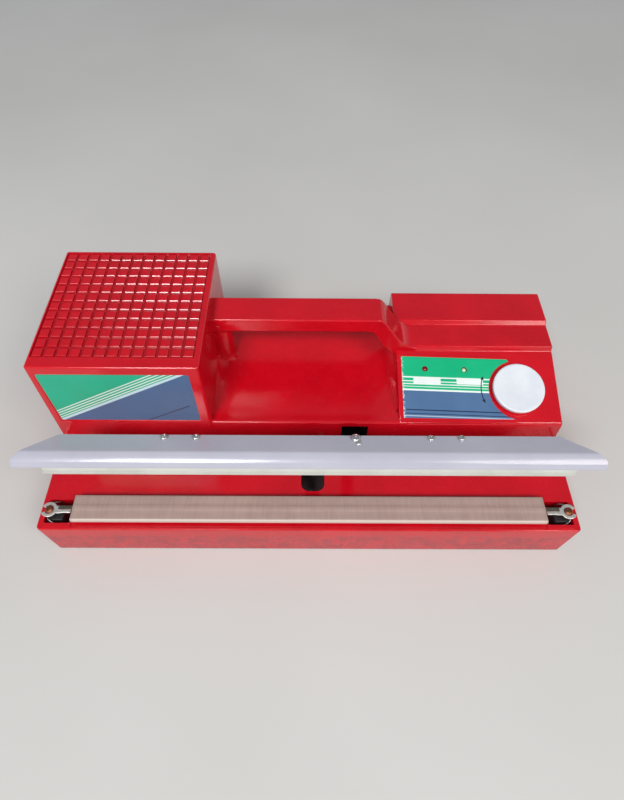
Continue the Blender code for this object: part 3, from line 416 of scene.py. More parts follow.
finishes = {
    # cold-rolled steel sheet, zinc plated and passivated: blue-grey with faint rolled streaks
    "zincSheet": {"dark": "#a9adb2", "light": "#c4c7ca", "cloud": 0.02, "grain": 0.004, "stretch": (0.12, 1, 1),
        "roughness": (0.26, 0.42), "fixed": {"Metallic": 1}},
    # machine screws, zinc plated: bright with turned rings
    "zincScrew": {"dark": "#b4b5b8", "light": "#d8d8d6", "cloud": 0.004, "grain": 0.0012, "roughness": (0.26, 0.38),
        "relief": 0.15, "fixed": {"Metallic": 0.85}},
    # ground steel pin
    "groundSteel": {"dark": "#b5b6b8", "light": "#cfcfcf", "cloud": 0.01, "grain": 0.001, "stretch": (0.1, 1, 1),
        "roughness": (0.16, 0.28), "fixed": {"Metallic": 1}},
    # hot-rolled bar with a thin oily scale: dark, warm in places
    "scaledSteel": {"dark": "#232326", "light": "#37373a", "cloud": 0.015, "grain": 0.002, "roughness": (0.34, 0.52),
        "relief": 0.5, "wear": "#5a5049", "wearShare": 0.2, "fixed": {"Metallic": 0.8}},
    # blackened spring strip
    "blackenedSteel": {"dark": "#1d1d20", "light": "#2e2e32", "cloud": 0.01, "grain": 0.0015,
        "roughness": (0.34, 0.5), "wear": "#5c5a58", "wearShare": 0.3, "fixed": {"Metallic": 0.9}},
    # drawn spring wire with lengthwise die lines
    "springWire": {"dark": "#9c9da0", "light": "#c3c4c6", "cloud": 0.004, "grain": 0.0008, "roughness": (0.22, 0.38),
        "fixed": {"Metallic": 1}},
    # nickel-plated copper terminal: warm white and bright, with a hazy bloom
    "nickelPlate": {"dark": "#d9d6cf", "light": "#f4f2ec", "cloud": 0.003, "grain": 0.0012, "roughness": (0.3, 0.42),
        "relief": 0.15, "depth": 0.00001, "fixed": {"Metallic": 0.75}},
    # copper stud, browned by heat
    "heatedCopper": {"dark": "#6e4330", "light": "#b4775a", "cloud": 0.0015, "grain": 0.0006,
        "roughness": (0.34, 0.55), "relief": 0.6, "fixed": {"Metallic": 1}},
    # extruded aluminium bar, mill finish: pale with lengthwise die lines
    "millAluminium": {"dark": "#b9bbbd", "light": "#d5d6d6", "cloud": 0.02, "grain": 0.003, "stretch": (0.03, 1, 1),
        "roughness": (0.28, 0.44), "fixed": {"Metallic": 1}},
    # nickel-chrome heating band, straw and brown from firing
    "firedBand": {"dark": "#7d6f60", "light": "#a99f92", "cloud": 0.008, "grain": 0.002, "stretch": (0.2, 1, 1),
        "roughness": (0.3, 0.45), "fixed": {"Metallic": 1}},
    # compression-moulded phenolic: near black, slightly speckled, satin
    "blackPhenolic": {"dark": "#131214", "light": "#211f20", "cloud": 0.004, "grain": 0.0009,
        "roughness": (0.38, 0.6), "relief": 0.5, "wear": "#4a4340", "wearShare": 0.3, "fixed": {"IOR": 1.6}},
    # black natural rubber: matte and dusty
    "blackRubber": {"dark": "#141414", "light": "#242323", "cloud": 0.006, "grain": 0.0008, "roughness": (0.6, 0.82),
        "relief": 0.6, "wear": "#5a5754", "wearShare": 0.25, "fixed": {"IOR": 1.5}},
    # platinum-cured silicone: creamy, waxy sheen
    "creamSilicone": {"dark": "#b8b9b1", "light": "#c8c9c1", "cloud": 0.02, "grain": 0.002, "stretch": (0.2, 1, 1),
        "roughness": (0.36, 0.52), "fixed": {"IOR": 1.43, "Subsurface Weight": 0.12,
        "Subsurface Radius": (0.004, 0.003, 0.002), "Subsurface Scale": 0.3}},
    # white-coated aluminium channel
    "whiteChannel": {"dark": "#c9cdca", "light": "#dfe2dd", "cloud": 0.03, "grain": 0.002, "stretch": (0.1, 1, 1),
        "roughness": (0.34, 0.46), "fixed": {"IOR": 1.5}},
    # urea or ABS knob, cool white and satin
    "whiteKnob": {"dark": "#d6dce4", "light": "#e4e8ee", "cloud": 0.012, "grain": 0.0012, "roughness": (0.26, 0.4),
        "relief": 0.1, "depth": 0.00001, "wear": "#c9cbcd", "wearShare": 0.1, "fixed": {"IOR": 1.5}},
    # powder coat on steel, cool white: smooth with a faint orange peel and a soft gloss
    "barPaint": {"dark": "#aeadbb", "light": "#b8b8c4", "cloud": 0.05, "grain": 0.0022, "roughness": (0.16, 0.26),
        "relief": 0.2, "depth": 0.00001, "wear": "#a4a7b4", "wearShare": 0.08,
        "fixed": {"IOR": 1.5, "Coat Weight": 0.25, "Coat Roughness": 0.12}},
    # stacked and varnished iron sheets
    "coreIron": {"dark": "#3a3634", "light": "#55504c", "cloud": 0.008, "grain": 0.0012, "stretch": (1, 0.05, 1),
        "roughness": (0.42, 0.6), "relief": 0.9, "depth": 0.00015, "wear": "#7a5a44", "wearShare": 0.35,
        "fixed": {"Metallic": 0.7}},
    # enamelled copper under varnished paper
    "windingWrap": {"dark": "#6b4016", "light": "#8f5b24", "cloud": 0.006, "grain": 0.0012, "stretch": (1, 1, 0.1),
        "roughness": (0.35, 0.55), "relief": 0.6, "fixed": {"IOR": 1.5}},
    # yellow polyester tape over the winding, its laps showing
    "yellowTape": {"dark": "#c29a22", "light": "#dcb63a", "cloud": 0.01, "grain": 0.0016, "stretch": (1, 1, 0.1),
        "roughness": (0.28, 0.45), "fixed": {"IOR": 1.6}},
    # glass-epoxy board with green solder resist
    "boardGreen": {"dark": "#0d4a24", "light": "#176534", "cloud": 0.008, "grain": 0.0012, "roughness": (0.3, 0.5),
        "wear": "#2e8a50", "wearShare": 0.5, "fixed": {"IOR": 1.55}},
    "relayBlue": {"dark": "#1c2f8a", "light": "#2a41a6", "cloud": 0.006, "grain": 0.001, "roughness": (0.25, 0.38),
        "fixed": {"IOR": 1.55}},
    "capacitorSleeve": {"dark": "#101828", "light": "#1a2438", "cloud": 0.006, "grain": 0.001,
        "roughness": (0.25, 0.36), "fixed": {"IOR": 1.53}},
    # rolled tin case of the timer's potentiometer
    "potCase": {"dark": "#8c8468", "light": "#aaa185", "cloud": 0.006, "grain": 0.001, "roughness": (0.3, 0.46),
        "fixed": {"Metallic": 0.85}},
    # PVC insulation: soft satin
    "redLead": {"dark": "#9c1115", "light": "#b8191d", "cloud": 0.01, "grain": 0.001, "roughness": (0.36, 0.5),
        "fixed": {"IOR": 1.53}},
    "blackLead": {"dark": "#121212", "light": "#1f1f20", "cloud": 0.01, "grain": 0.001, "roughness": (0.36, 0.5),
        "fixed": {"IOR": 1.53}},
    "redAcetal": {"dark": "#9d1a1a", "light": "#b82424", "cloud": 0.004, "grain": 0.0006, "roughness": (0.3, 0.4),
        "fixed": {"IOR": 1.48}},
    # screen-printed ink
    "printInk": {"dark": "#10171c", "light": "#1b242b", "cloud": 0.004, "grain": 0.0006, "roughness": (0.4, 0.55),
        "fixed": {"IOR": 1.5}},
    # diffused epoxy lamps, unlit
    "redLens": {"dark": "#7c1016", "light": "#a8161d", "cloud": 0.002, "grain": 0.0004, "roughness": (0.08, 0.16),
        "relief": 0.1, "fixed": {"IOR": 1.55, "Coat Weight": 0.6, "Coat Roughness": 0.05}},
    "greenLens": {"dark": "#a6cf9c", "light": "#d4f0c4", "cloud": 0.002, "grain": 0.0004, "roughness": (0.08, 0.16),
        "relief": 0.1, "fixed": {"IOR": 1.55, "Coat Weight": 0.6, "Coat Roughness": 0.05}},
}
made = {name: plainFinish(name, look) for name, look in finishes.items()}
redSkin = mouldedRed("mouldedRed", True)
print("materials made:", len(made) + 1)


# the red moulding is one hollow shell: tray, housing, recess floor, control block, label plateau and handle
above = 3   # how far a cutter stands proud of what it cuts
shell = {
    "foot": ((-158.7, 1.4), (158.7, 161.3)), "deck": ((-160.95, 0.62), (160.95, 162.0)), "footZ": 0.8, "deckZ": 31.5,
    "rim": 0.7,            # how far the rim stands over the deck
    "rimWidth": 2.1, "corner": 2.4, "lip": 1.6,
    "hollowFoot": ((-156.2, 3.9), (156.2, 158.8)), "hollowTop": ((-158.4, 3.6), (158.4, 159.4)), "wall": 2.5,
}
housing = {
    "foot": ((-159.6, 62.6), (-60.6, 161.8)), "top": ((-157.7, 63.3), (-61.3, 160.0)), "footZ": 20.0, "topZ": 105.0,
    "corner": 1.8, "edge": 1.3, "wall": 2.5,
}
gripPads = {"columns": 13, "rows": 12, "pitch": (7.05, 7.24), "groove": (1.7, 1.7), "middle": (-110.4, 114.4),
    "fieldZ": 103.9, "sunk": 0.25, "chamfer": 0.32}
recess = {
    "left": -66.0, "right": 61.0, "wallLeft": -61.0, "wallRight": 56.0,
    "floor": [(63.4, 50.5), (63.7, 51.05), (64.3, 51.4), (65.0, 51.5), (66.8, 51.25), (72, 50.7), (84, 50.4),
        (100, 51), (118, 52.6), (136, 55), (150, 57), (157, 58), (159.4, 57.4), (160.6, 55.6)],
    "coveLeft": (15.0, 7.0), "coveRight": (5.0, 1.8),   # reach and rise of the hollows beside the walls
    "coveStart": 72, "coveRun": 34, "coveFade": 1.2, "coveCurve": 2.4,   # they deepen towards the back
    "baseZ": 20.0, "columns": 60,
}
block = {
    "left": 56.0, "right": 157.8, "draft": 2.0, "draftHeights": (20, 72),
    "outline": [(62.9, 20.0), (63.24, 49.4), (64.24, 51.15), (107.84, 65.04), (110.8, 65.7), (111.5, 68.0),
        (112.6, 69.0), (130.2, 69.3), (132.6, 72.0), (157.6, 72.0), (159.4, 70.2), (161.5, 20.0)],
    "round": 0.7,
}
plateau = {"left": 56.25, "top": (46.9, 45.2), "low": 0.4, "arcCentre": (134.0, 22.6), "arcRadius": 18.9,
    "depth": 3.0, "round": 0.45, "flare": 3.4, "arcTop": 43.4, "arcDrop": 0.8, "runs": (1.5, 2.6)}
handle = {
    "front": 110.3, "back": 130.2, "round": 1.1,
    "top": [(41.6, 94.0), (44.6, 93.2), (47.2, 90.6), (50.6, 85.6), (54.2, 80.2), (57.4, 75.6), (60.4, 72.4),
        (64.0, 70.2), (69.0, 68.4)],
    "under": [(60.4, 57.8), (56.0, 61.6), (51.6, 65.6), (47.6, 69.8), (44.6, 74.6), (42.0, 79.4), (39.6, 82.4),
        (36.4, 83.4)],
    "start": -64.0, "root": (69.0, 56.0), "legCentre": (-58.2, 119.4),
    "leg": [(0, 45), (10.4, 45), (9.9, 52.6), (8.6, 54.2), (7.8, 56.6), (7.6, 60), (7.6, 78), (7.9, 80.6),
        (8.8, 82.8), (9.4, 84.4), (9.4, 88), (0, 88)],
}


def deckTray():
    bm = draftedBox(shell["foot"], shell["deck"], (shell["footZ"], shell["deckZ"] + shell["rim"]))
    bevelEdges(bm, uprightEdges(bm), shell["corner"], 4)
    top = max(bm.faces, key=lambda f: f.calc_center_median().z)
    bmesh.ops.inset_region(bm, faces=[top], thickness=shell["rimWidth"], use_even_offset=True)
    bmesh.ops.translate(bm, vec=(0, 0, -shell["rim"]), verts=top.verts)
    bmesh.ops.recalc_face_normals(bm, faces=bm.faces)
    high = shell["deckZ"] + shell["rim"] - 0.01
    ring = [e for e in bm.edges if all(v.co.z > high for v in e.verts)]
    lip = [e for e in ring if any(f.normal.z > 0.9 for f in e.link_faces)
        and any(abs(f.normal.z) < 0.3 and f.calc_center_median().z < high - 5 for f in e.link_faces)]
    bevelEdges(bm, lip, shell["lip"], 3)
    return bm


def housingBox():
    bm = draftedBox(housing["foot"], housing["top"], (housing["footZ"], housing["topZ"]))
    bevelEdges(bm, uprightEdges(bm), housing["corner"], 4)
    rim = [e for e in bm.edges if all(v.co.z > housing["topZ"] - 0.01 for v in e.verts)]
    bevelEdges(bm, rim, housing["edge"], 3)
    # a shallow field for the grip pads
    halves = [gripPads["pitch"][0] * gripPads["columns"] / 2, gripPads["pitch"][1] * gripPads["rows"] / 2]
    x, y = gripPads["middle"]
    low, high = gripPads["fieldZ"], housing["topZ"] + above
    return combined(bm, boxBetween((x - halves[0], y - halves[1], low), (x + halves[0], y + halves[1], high)))


def recessFloor():
    rows = smoothLine(recess["floor"], 3)
    bm = bmesh.new()
    bmesh.ops.create_grid(bm, x_segments=recess["columns"], y_segments=len(rows) - 1, size=0.5)
    for vert in bm.verts:
        y, z = rows[round((vert.co.y + 0.5) * (len(rows) - 1))]
        x = recess["left"] + (recess["right"] - recess["left"]) * (vert.co.x + 0.5)
        fade = min(1, max(0, (y - recess["coveStart"]) / recess["coveRun"])) ** recess["coveFade"]
        coves = ((x - recess["wallLeft"], recess["coveLeft"]), (recess["wallRight"] - x, recess["coveRight"]))
        for gap, (reach, rise) in coves:
            z += rise * fade * min(1, max(0, 1 - gap / reach)) ** recess["coveCurve"]
        vert.co = (x, y, z)
    moved = bmesh.ops.extrude_face_region(bm, geom=bm.faces[:])["geom"]
    for vert in [v for v in moved if isinstance(v, bmesh.types.BMVert)]:
        vert.co.z = recess["baseZ"]
    bmesh.ops.recalc_face_normals(bm, faces=bm.faces)
    return bm


def controlBlock():
    bm = extrudedOutline(block["outline"], "X", block["left"], block["right"])
    foot, top = block["draftHeights"]
    for vert in bm.verts:
        if vert.co.x > 100:
            vert.co.x += block["draft"] * (top - vert.co.z) / (top - foot)
    edges = [e for e in edgesOver(bm, 14) if max(v.co.z for v in e.verts) > 30]
    bevelEdges(bm, edges, block["round"], 3)
    return bm


def labelPlateau():
    centre, radius = plateau["arcCentre"], plateau["arcRadius"]
    high, low = plateau["top"], plateau["low"]
    wide = radius + plateau["flare"]
    upper = math.degrees(math.asin((plateau["arcTop"] - centre[1]) / wide))
    lower = math.degrees(math.asin((centre[1] - low - plateau["arcDrop"]) / wide))
    arc = arcPoints(centre, radius, 180 - upper, 180 + lower, 25)
    run, lowRun = plateau["runs"]
    outline = [(plateau["left"], high[0]), (arc[0][0] + run, high[1])] + arc
    outline += [(arc[-1][0] + lowRun, low), (plateau["left"], low)]
    bm = extrudedOutline(outline, "Z", -plateau["depth"], 0)
    bevelEdges(bm, [e for e in bm.edges if all(v.co.z > -0.01 for v in e.verts)], plateau["round"], 3)
    return laidOnPanel(bm)


def carryHandle():
    top = smoothLine(handle["top"], 4)
    under = smoothLine(handle["under"], 4)
    outline = [(handle["start"], top[0][1])] + top + [handle["root"]] + under + [(handle["start"], under[-1][1])]
    bm = extrudedOutline(outline, "Y", handle["front"], handle["back"])
    # the two ends lie inside the housing and the block and stay square
    start, end = handle["start"] + 0.1, handle["root"][0] - 0.1
    rims = [e for e in bm.edges if abs(e.verts[0].co.y - e.verts[1].co.y) < 0.01]
    free = [e for e in rims if min(v.co.x for v in e.verts) < end and max(v.co.x for v in e.verts) > start]
    bevelEdges(bm, free, handle["round"], 3)
    return bm


hollows = {
    "belowZ": -2, "upToZ": 20.0,
    "housingFoot": ((-157.0, 65.8), (-63.2, 159.2)), "housingTop": ((-155.2, 65.8), (-63.8, 157.4)),
    "floorSpan": (-72, 68), "rightWall": 2.0,
    "floor": [
        (65.8, 20), (65.8, 48.2), (84, 47.7), (100, 48.3), (118, 49.9), (136, 52.3), (150, 54.2), (157.6, 55.2),
        (158.8, 20),
    ],
    "block": [
        (65.8, 20), (65.8, 49.2), (106.6, 62.2), (113.4, 63.2), (113.8, 66.2), (131.4, 66.6), (133.8, 69.3),
        (157.0, 69.3), (158.9, 20),
    ],
}


def hollowed(bm):
    wall = shell["wall"]
    under = draftedBox(shell["hollowFoot"], shell["hollowTop"], (hollows["belowZ"], shell["deckZ"] - wall))
    bm = combined(bm, under)
    heights = (hollows["upToZ"], housing["topZ"] - housing["wall"])
    bm = combined(bm, draftedBox(hollows["housingFoot"], hollows["housingTop"], heights))
    bm = combined(bm, extrudedOutline(hollows["floor"], "X", *hollows["floorSpan"]))
    span = (block["left"] + wall, block["right"] - hollows["rightWall"])
    return combined(bm, extrudedOutline(hollows["block"], "X", *span))


pockets = {
    "inner": 142.0, "outer": 157.4, "front": 4.6, "back": 19.8, "floorZ": 22.0, "round": 1.4,
    "wireHole": (149.8, 11.6, 2.6),                                          # X, Y, radius
    "cupX": (140, 158.9), "cupY": (2.4, 21.8), "cupZ": (20, 30.9),           # the walls round each pocket
    "ledgeX": (140.7, 157.2), "ledgeY": (1.9, 4.9), "ledgeZ": (30.0, 32.25), "ledgeRound": 0.4,
}
posts = {
    "places": ((-148, 40, 30.7), (148, 40, 30.7), (-148, 150, 103), (148, 150, 71)),   # X, Y, top
    "foot": 3.4, "radius": 4.2, "hole": 1.9, "holeTop": 17,
}
slots = {
    "lever": (-5.2, 9.2, 26.2, 61.6, 5.0), "leverDeep": 6,                   # left, right, front, back, corner
    "strapLeft": 20.2, "strapRight": 36.9, "lowZ": 26,
    "window": (60.6, 68, 47.4), "notch": (42.0, 63, 34),                     # front, back, top
    "ventStart": -140.0, "ventPitch": 11.0, "ventWidth": 4.4, "vents": 6, "ventZ": (60.0, 84.0), "ventY": (150, 170),
    "ventRound": 1.2,
    "gland": {"place": (118, 150, 20), "radius": 5.4, "deep": 20},
}
seats = {"labelGap": 0.5, "labelY": 60, "lampHole": 1.8, "shaftHole": 3.6, "below": -8, "lampAbove": 8,
    "shaftAbove": 4}
def plug(radius, low, high, steps, place, direction=(0, 0, 1)):
    return spunProfile([(0, low), (radius, low), (radius, high), (0, high)], steps, place, direction)


def withCups(bm):
    for side in (-1, 1):
        walls, ledge, pocket = (sorted((side * a, side * b)) for a, b in (
            pockets["cupX"], pockets["ledgeX"], (pockets["inner"], pockets["outer"])))
        cup = boxBetween(*zip(walls, pockets["cupY"], pockets["cupZ"]))
        bm = combined(bm, cup, "UNION")
        rest = boxBetween(*zip(ledge, pockets["ledgeY"], pockets["ledgeZ"]))
        bevelEdges(rest, rest.edges[:], pockets["ledgeRound"], 2)
        bm = combined(bm, rest, "UNION")
        room = boxBetween(*zip(pocket, (pockets["front"], pockets["back"]),
            (pockets["floorZ"], shell["deckZ"] + above)))
        bevelEdges(room, uprightEdges(room), pockets["round"], 4)
        bm = combined(bm, room)
        x, y, radius = pockets["wireHole"]
        bm = combined(bm, plug(radius, 18, 24, 20, (side * x, y, 0)))
    return bm


def withPosts(bm):
    for x, y, top in posts["places"]:
        bm = combined(bm, plug(posts["radius"], posts["foot"], top, 20, (x, y, 0)), "UNION")
        bm = combined(bm, plug(posts["hole"], 0, posts["holeTop"], 14, (x, y, 0)))
    return bm


def withSlots(bm):
    top = shell["deckZ"]
    left, right, front, back, corner = slots["lever"]
    outline = arcPoints((left + corner, front + corner), corner, 180, 270, 9)
    outline += arcPoints((right - corner, front + corner), corner, 270, 360, 9)
    outline += [(right, back), (left, back)]
    bm = combined(bm, extrudedOutline(outline, "Z", top - slots["leverDeep"], top + above))
    for front, back, high in (slots["window"], slots["notch"]):
        low, far = (slots["strapLeft"], front, slots["lowZ"]), (slots["strapRight"], back, high)
        bm = combined(bm, boxBetween(low, far))
    for k in range(slots["vents"]):
        x = slots["ventStart"] + slots["ventPitch"] * k
        vent = boxBetween(*zip((x, x + slots["ventWidth"]), slots["ventY"], slots["ventZ"]))
        bevelEdges(vent, [e for e in vent.edges if abs(e.verts[0].co.y - e.verts[1].co.y) > 5], slots["ventRound"], 3)
        bm = combined(bm, vent)
    gland = slots["gland"]
    return combined(bm, plug(gland["radius"], 0, gland["deep"], 24, gland["place"], (0, 1, 0)))


def withSeats(bm):
    low, high = nodeBox("front_label")
    gap = seats["labelGap"]
    bm = combined(bm, boxBetween((low.x - gap, seats["labelY"], low.z - gap),
        (high.x + gap, low.y + 0.02, high.z + gap)))
    for name in ("power_lamp", "warm_lamp"):
        low, high = nodeBox(name)
        middle = (low + high) / 2
        bm = combined(bm, plug(seats["lampHole"], seats["below"], seats["lampAbove"], 24, middle, panelOut))
    return combined(bm, plug(seats["shaftHole"], seats["below"], seats["shaftAbove"], 24, knobPlace, panelOut))


def buildMoulding():
    bm = combined(deckTray(), housingBox(), "UNION")
    bm = combined(bm, recessFloor(), "UNION")
    bm = combined(bm, controlBlock(), "UNION")
    bm = combined(bm, labelPlateau(), "UNION")
    bm = combined(bm, carryHandle(), "UNION")
    bm = combined(bm, spunProfile(handle["leg"], 40, (*handle["legCentre"], 0)), "UNION")
    print("outside of the moulding joined:", len(bm.faces), "faces")
    bm = hollowed(bm)
    bm = withCups(bm)
    bm = withPosts(bm)
    bm = withSlots(bm)
    bm = withSeats(bm)
    print("moulding cut:", len(bm.faces), "faces")
    return makePiece("redMoulding", bm, redSkin, "base", ["upper_shell"], sharp=38, weighted=True)


def buildGripPads():
    # each pad is a low block with chamfered top edges, sunk a little into the lid
    bm = bmesh.new()
    width = [gripPads["pitch"][i] - gripPads["groove"][i] for i in range(2)]
    low, high = gripPads["fieldZ"] - gripPads["sunk"], housing["topZ"]
    for column in range(gripPads["columns"]):
        for row in range(gripPads["rows"]):
            x = gripPads["middle"][0] + (column - (gripPads["columns"] - 1) / 2) * gripPads["pitch"][0]
            y = gripPads["middle"][1] + (row - (gripPads["rows"] - 1) / 2) * gripPads["pitch"][1]
            pad = boxBetween((x - width[0] / 2, y - width[1] / 2, low), (x + width[0] / 2, y + width[1] / 2, high))
            bevelEdges(pad, [e for e in pad.edges if min(v.co.z for v in e.verts) > high - 0.01], gripPads["chamfer"],
                1)
            joinMeshes(bm, pad)
    halves = [gripPads["pitch"][i] * (gripPads["columns"], gripPads["rows"])[i] / 2 - 0.05 for i in range(2)]
    x, y = gripPads["middle"]
    skinZ = gripPads["fieldZ"] + 0.05   # the thin skin at the foot of the pads
    joinMeshes(bm, boxBetween((x - halves[0], y - halves[1], low + 0.05), (x + halves[0], y + halves[1], skinZ)))
    # the pads' red carries painted shade in the grooves between them
    padRedWithShade = mouldedRed("groovedRedWithShade", False, (gripPads["fieldZ"] + 0.1, housing["topZ"] - 0.15))
    return makePiece("gripPads", bm, padRedWithShade, "base", [], sharp=30)


buildMoulding()
buildGripPads()
print("moulding and grip pads done")


# printed films, with bands and blank patches only
def wearOf(tree, place, perMetre, low, high):
    rub = addNode(tree, "ShaderNodeTexNoise", {}, {"Vector": place, "Scale": perMetre, "Detail": 6, "Roughness": 0.7})
    return addNode(tree, "ShaderNodeMapRange", {"clamp": True},
        {"Value": rub.outputs["Fac"], "From Min": low, "From Max": high}).outputs["Result"]


frontLabel = {
    "green": "#1ead88", "white": "#dcebe4", "pale": "#c4e0e8", "slate": "#4a6a90", "navy": "#1a2438",
    "lean": 29.0,                      # degrees the stripes rise
    "stripes": [2.1, 4.1, 6.1, 8.1],   # millimetres above the pale one
    "scuffs": (900, 0.68, 0.8), "scuff": "#c8d4d2",   # how many to a metre, and from where to where they show
    "stripeHalf": 0.36, "paleHalf": 0.8, "lineBelow": 26.0, "lineHalf": 0.34, "lineSpan": (46.0, 79.0),
}


def printedFrontLabel(low):
    # vinyl film, screen printed: flat saturated inks under a soft gloss, slightly scuffed
    material, tree, shader, place = startMaterial("printedFrontLabel", {"IOR": 1.48, "Specular IOR Level": 0.4})
    lean = math.radians(frontLabel["lean"])
    corner = (low - lipShift) * 0.001
    across = addNode(tree, "ShaderNodeVectorMath", {"operation": "DOT_PRODUCT"},
        {0: place, 1: (-1000 * math.sin(lean), 0, 1000 * math.cos(lean))})
    along = addNode(tree, "ShaderNodeVectorMath", {"operation": "DOT_PRODUCT"},
        {0: place, 1: (1000 * math.cos(lean), 0, 1000 * math.sin(lean))})
    start = -1000 * math.sin(lean) * corner.x + 1000 * math.cos(lean) * corner.z
    first = 1000 * math.cos(lean) * corner.x + 1000 * math.sin(lean) * corner.z
    span = 100.0
    share = addNode(tree, "ShaderNodeMath", {"operation": "MULTIPLY_ADD"},
        {0: across.outputs["Value"], 1: 1 / span, 2: 0.5 - start / span})
    ramp = addNode(tree, "ShaderNodeValToRGB", {}, {"Fac": share.outputs["Value"]})
    stops = [(0.0, frontLabel["slate"]), (0.5 - frontLabel["paleHalf"] / span, frontLabel["pale"]),
        (0.5 + frontLabel["paleHalf"] / span, frontLabel["green"])]
    for stripe in frontLabel["stripes"]:
        stops += [(0.5 + (stripe - frontLabel["stripeHalf"]) / span, frontLabel["white"]),
            (0.5 + (stripe + frontLabel["stripeHalf"]) / span, frontLabel["green"])]
    inks = setStops(ramp, stops, "CONSTANT")
    lineMask = addNode(tree, "ShaderNodeMath", {"operation": "COMPARE"},
        {0: across.outputs["Value"], 1: start - frontLabel["lineBelow"], 2: frontLabel["lineHalf"]})
    middle = first + sum(frontLabel["lineSpan"]) / 2
    spanMask = addNode(tree, "ShaderNodeMath", {"operation": "COMPARE"},
        {0: along.outputs["Value"], 1: middle, 2: (frontLabel["lineSpan"][1] - frontLabel["lineSpan"][0]) / 2})
    both = addNode(tree, "ShaderNodeMath", {"operation": "MULTIPLY"},
        {0: lineMask.outputs["Value"], 1: spanMask.outputs["Value"]})
    lined = addNode(tree, "ShaderNodeMix", {"data_type": "RGBA"},
        {"Factor": both.outputs["Value"], "A": inks, "B": colourOf(frontLabel["navy"])})
    fade = addNode(tree, "ShaderNodeTexNoise", {}, {"Vector": place, "Scale": 45, "Detail": 5})
    value = addNode(tree, "ShaderNodeMapRange", {}, {"Value": fade.outputs["Fac"], "From Min": 0.3, "From Max": 0.7,
        "To Min": 0.93, "To Max": 1.06})
    aged = addNode(tree, "ShaderNodeHueSaturation", {},
        {"Color": lined.outputs["Result"], "Value": value.outputs["Result"]})
    scuffs = wearOf(tree, place, *frontLabel["scuffs"])
    scuffed = addNode(tree, "ShaderNodeMix", {"data_type": "RGBA"},
        {"Factor": scuffs, "A": aged.outputs["Color"], "B": colourOf(frontLabel["scuff"])})
    shine = addNode(tree, "ShaderNodeMapRange", {"clamp": True},
        {"Value": fade.outputs["Fac"], "From Min": 0.3, "From Max": 0.7, "To Min": 0.28, "To Max": 0.42})
    film = addNode(tree, "ShaderNodeTexNoise", {}, {"Vector": place, "Scale": 300, "Detail": 2})
    bump = addNode(tree, "ShaderNodeBump", {}, {"Height": film.outputs["Fac"], "Strength": 0.2, "Distance": 0.00003})
    tree.links.new(scuffed.outputs["Result"], shader.inputs["Base Color"])
    tree.links.new(shine.outputs["Result"], shader.inputs["Roughness"])
    tree.links.new(bump.outputs["Normal"], shader.inputs["Normal"])
    return material


def buildFrontLabel():
    low, high = nodeBox("front_label")
    bm = boxBetween(low, high)
    bevelEdges(bm, [e for e in bm.edges if abs(e.verts[0].co.y - e.verts[1].co.y) > 0.05], 1.2, 4)
    return makePiece("frontFilm", bm, printedFrontLabel(low), "base", ["front_label"])


panelLabel = {
    "green": "#14b57e", "white": "#e8f2ee", "slate": "#4f7098", "navy": "#1d2c48", "pale": "#a9bcd0",
    "tilt": -0.034,        # the bands drop this much for each millimetre to the right
    "left": 59.0, "lowEdge": 3.7, "topLeft": 45.3, "topRight": 43.4,
    # left, right, middle, half height of the blank caption patches
    "patches": [(66.2, 83.6, 29.1, 2.15), (93.8, 110.6, 29.6, 2.2)],
    "edge": "#e9efec", "chips": (700, 0.5, 0.54),
    # where the film is cut round the knob
    "cutRadius": 20.1, "cutReach": 19.3, "cutInset": (1.2, 1.0), "cutDrop": 0.7,
    "half": 0.12, "lampHole": 1.85,
    "arc": {"radius": 22.9, "half": 0.3, "sweep": 17.0, "head": 2.6, "headHalf": 1.1, "heights": (0.1, 0.17)},
}
panelBands = [   # lower edge of each band, up the panel
    (-10, "slate"), (4.9, "pale"), (5.5, "slate"), (6.5, "navy"), (7.1, "slate"), (8.9, "navy"), (9.5, "slate"),
    (21.9, "white"), (23.1, "green"), (24.5, "white"), (25.1, "green"), (26.3, "white"), (26.9, "green"),
    (28.1, "white"), (28.7, "green"), (30.7, "white"), (31.7, "green"),
]


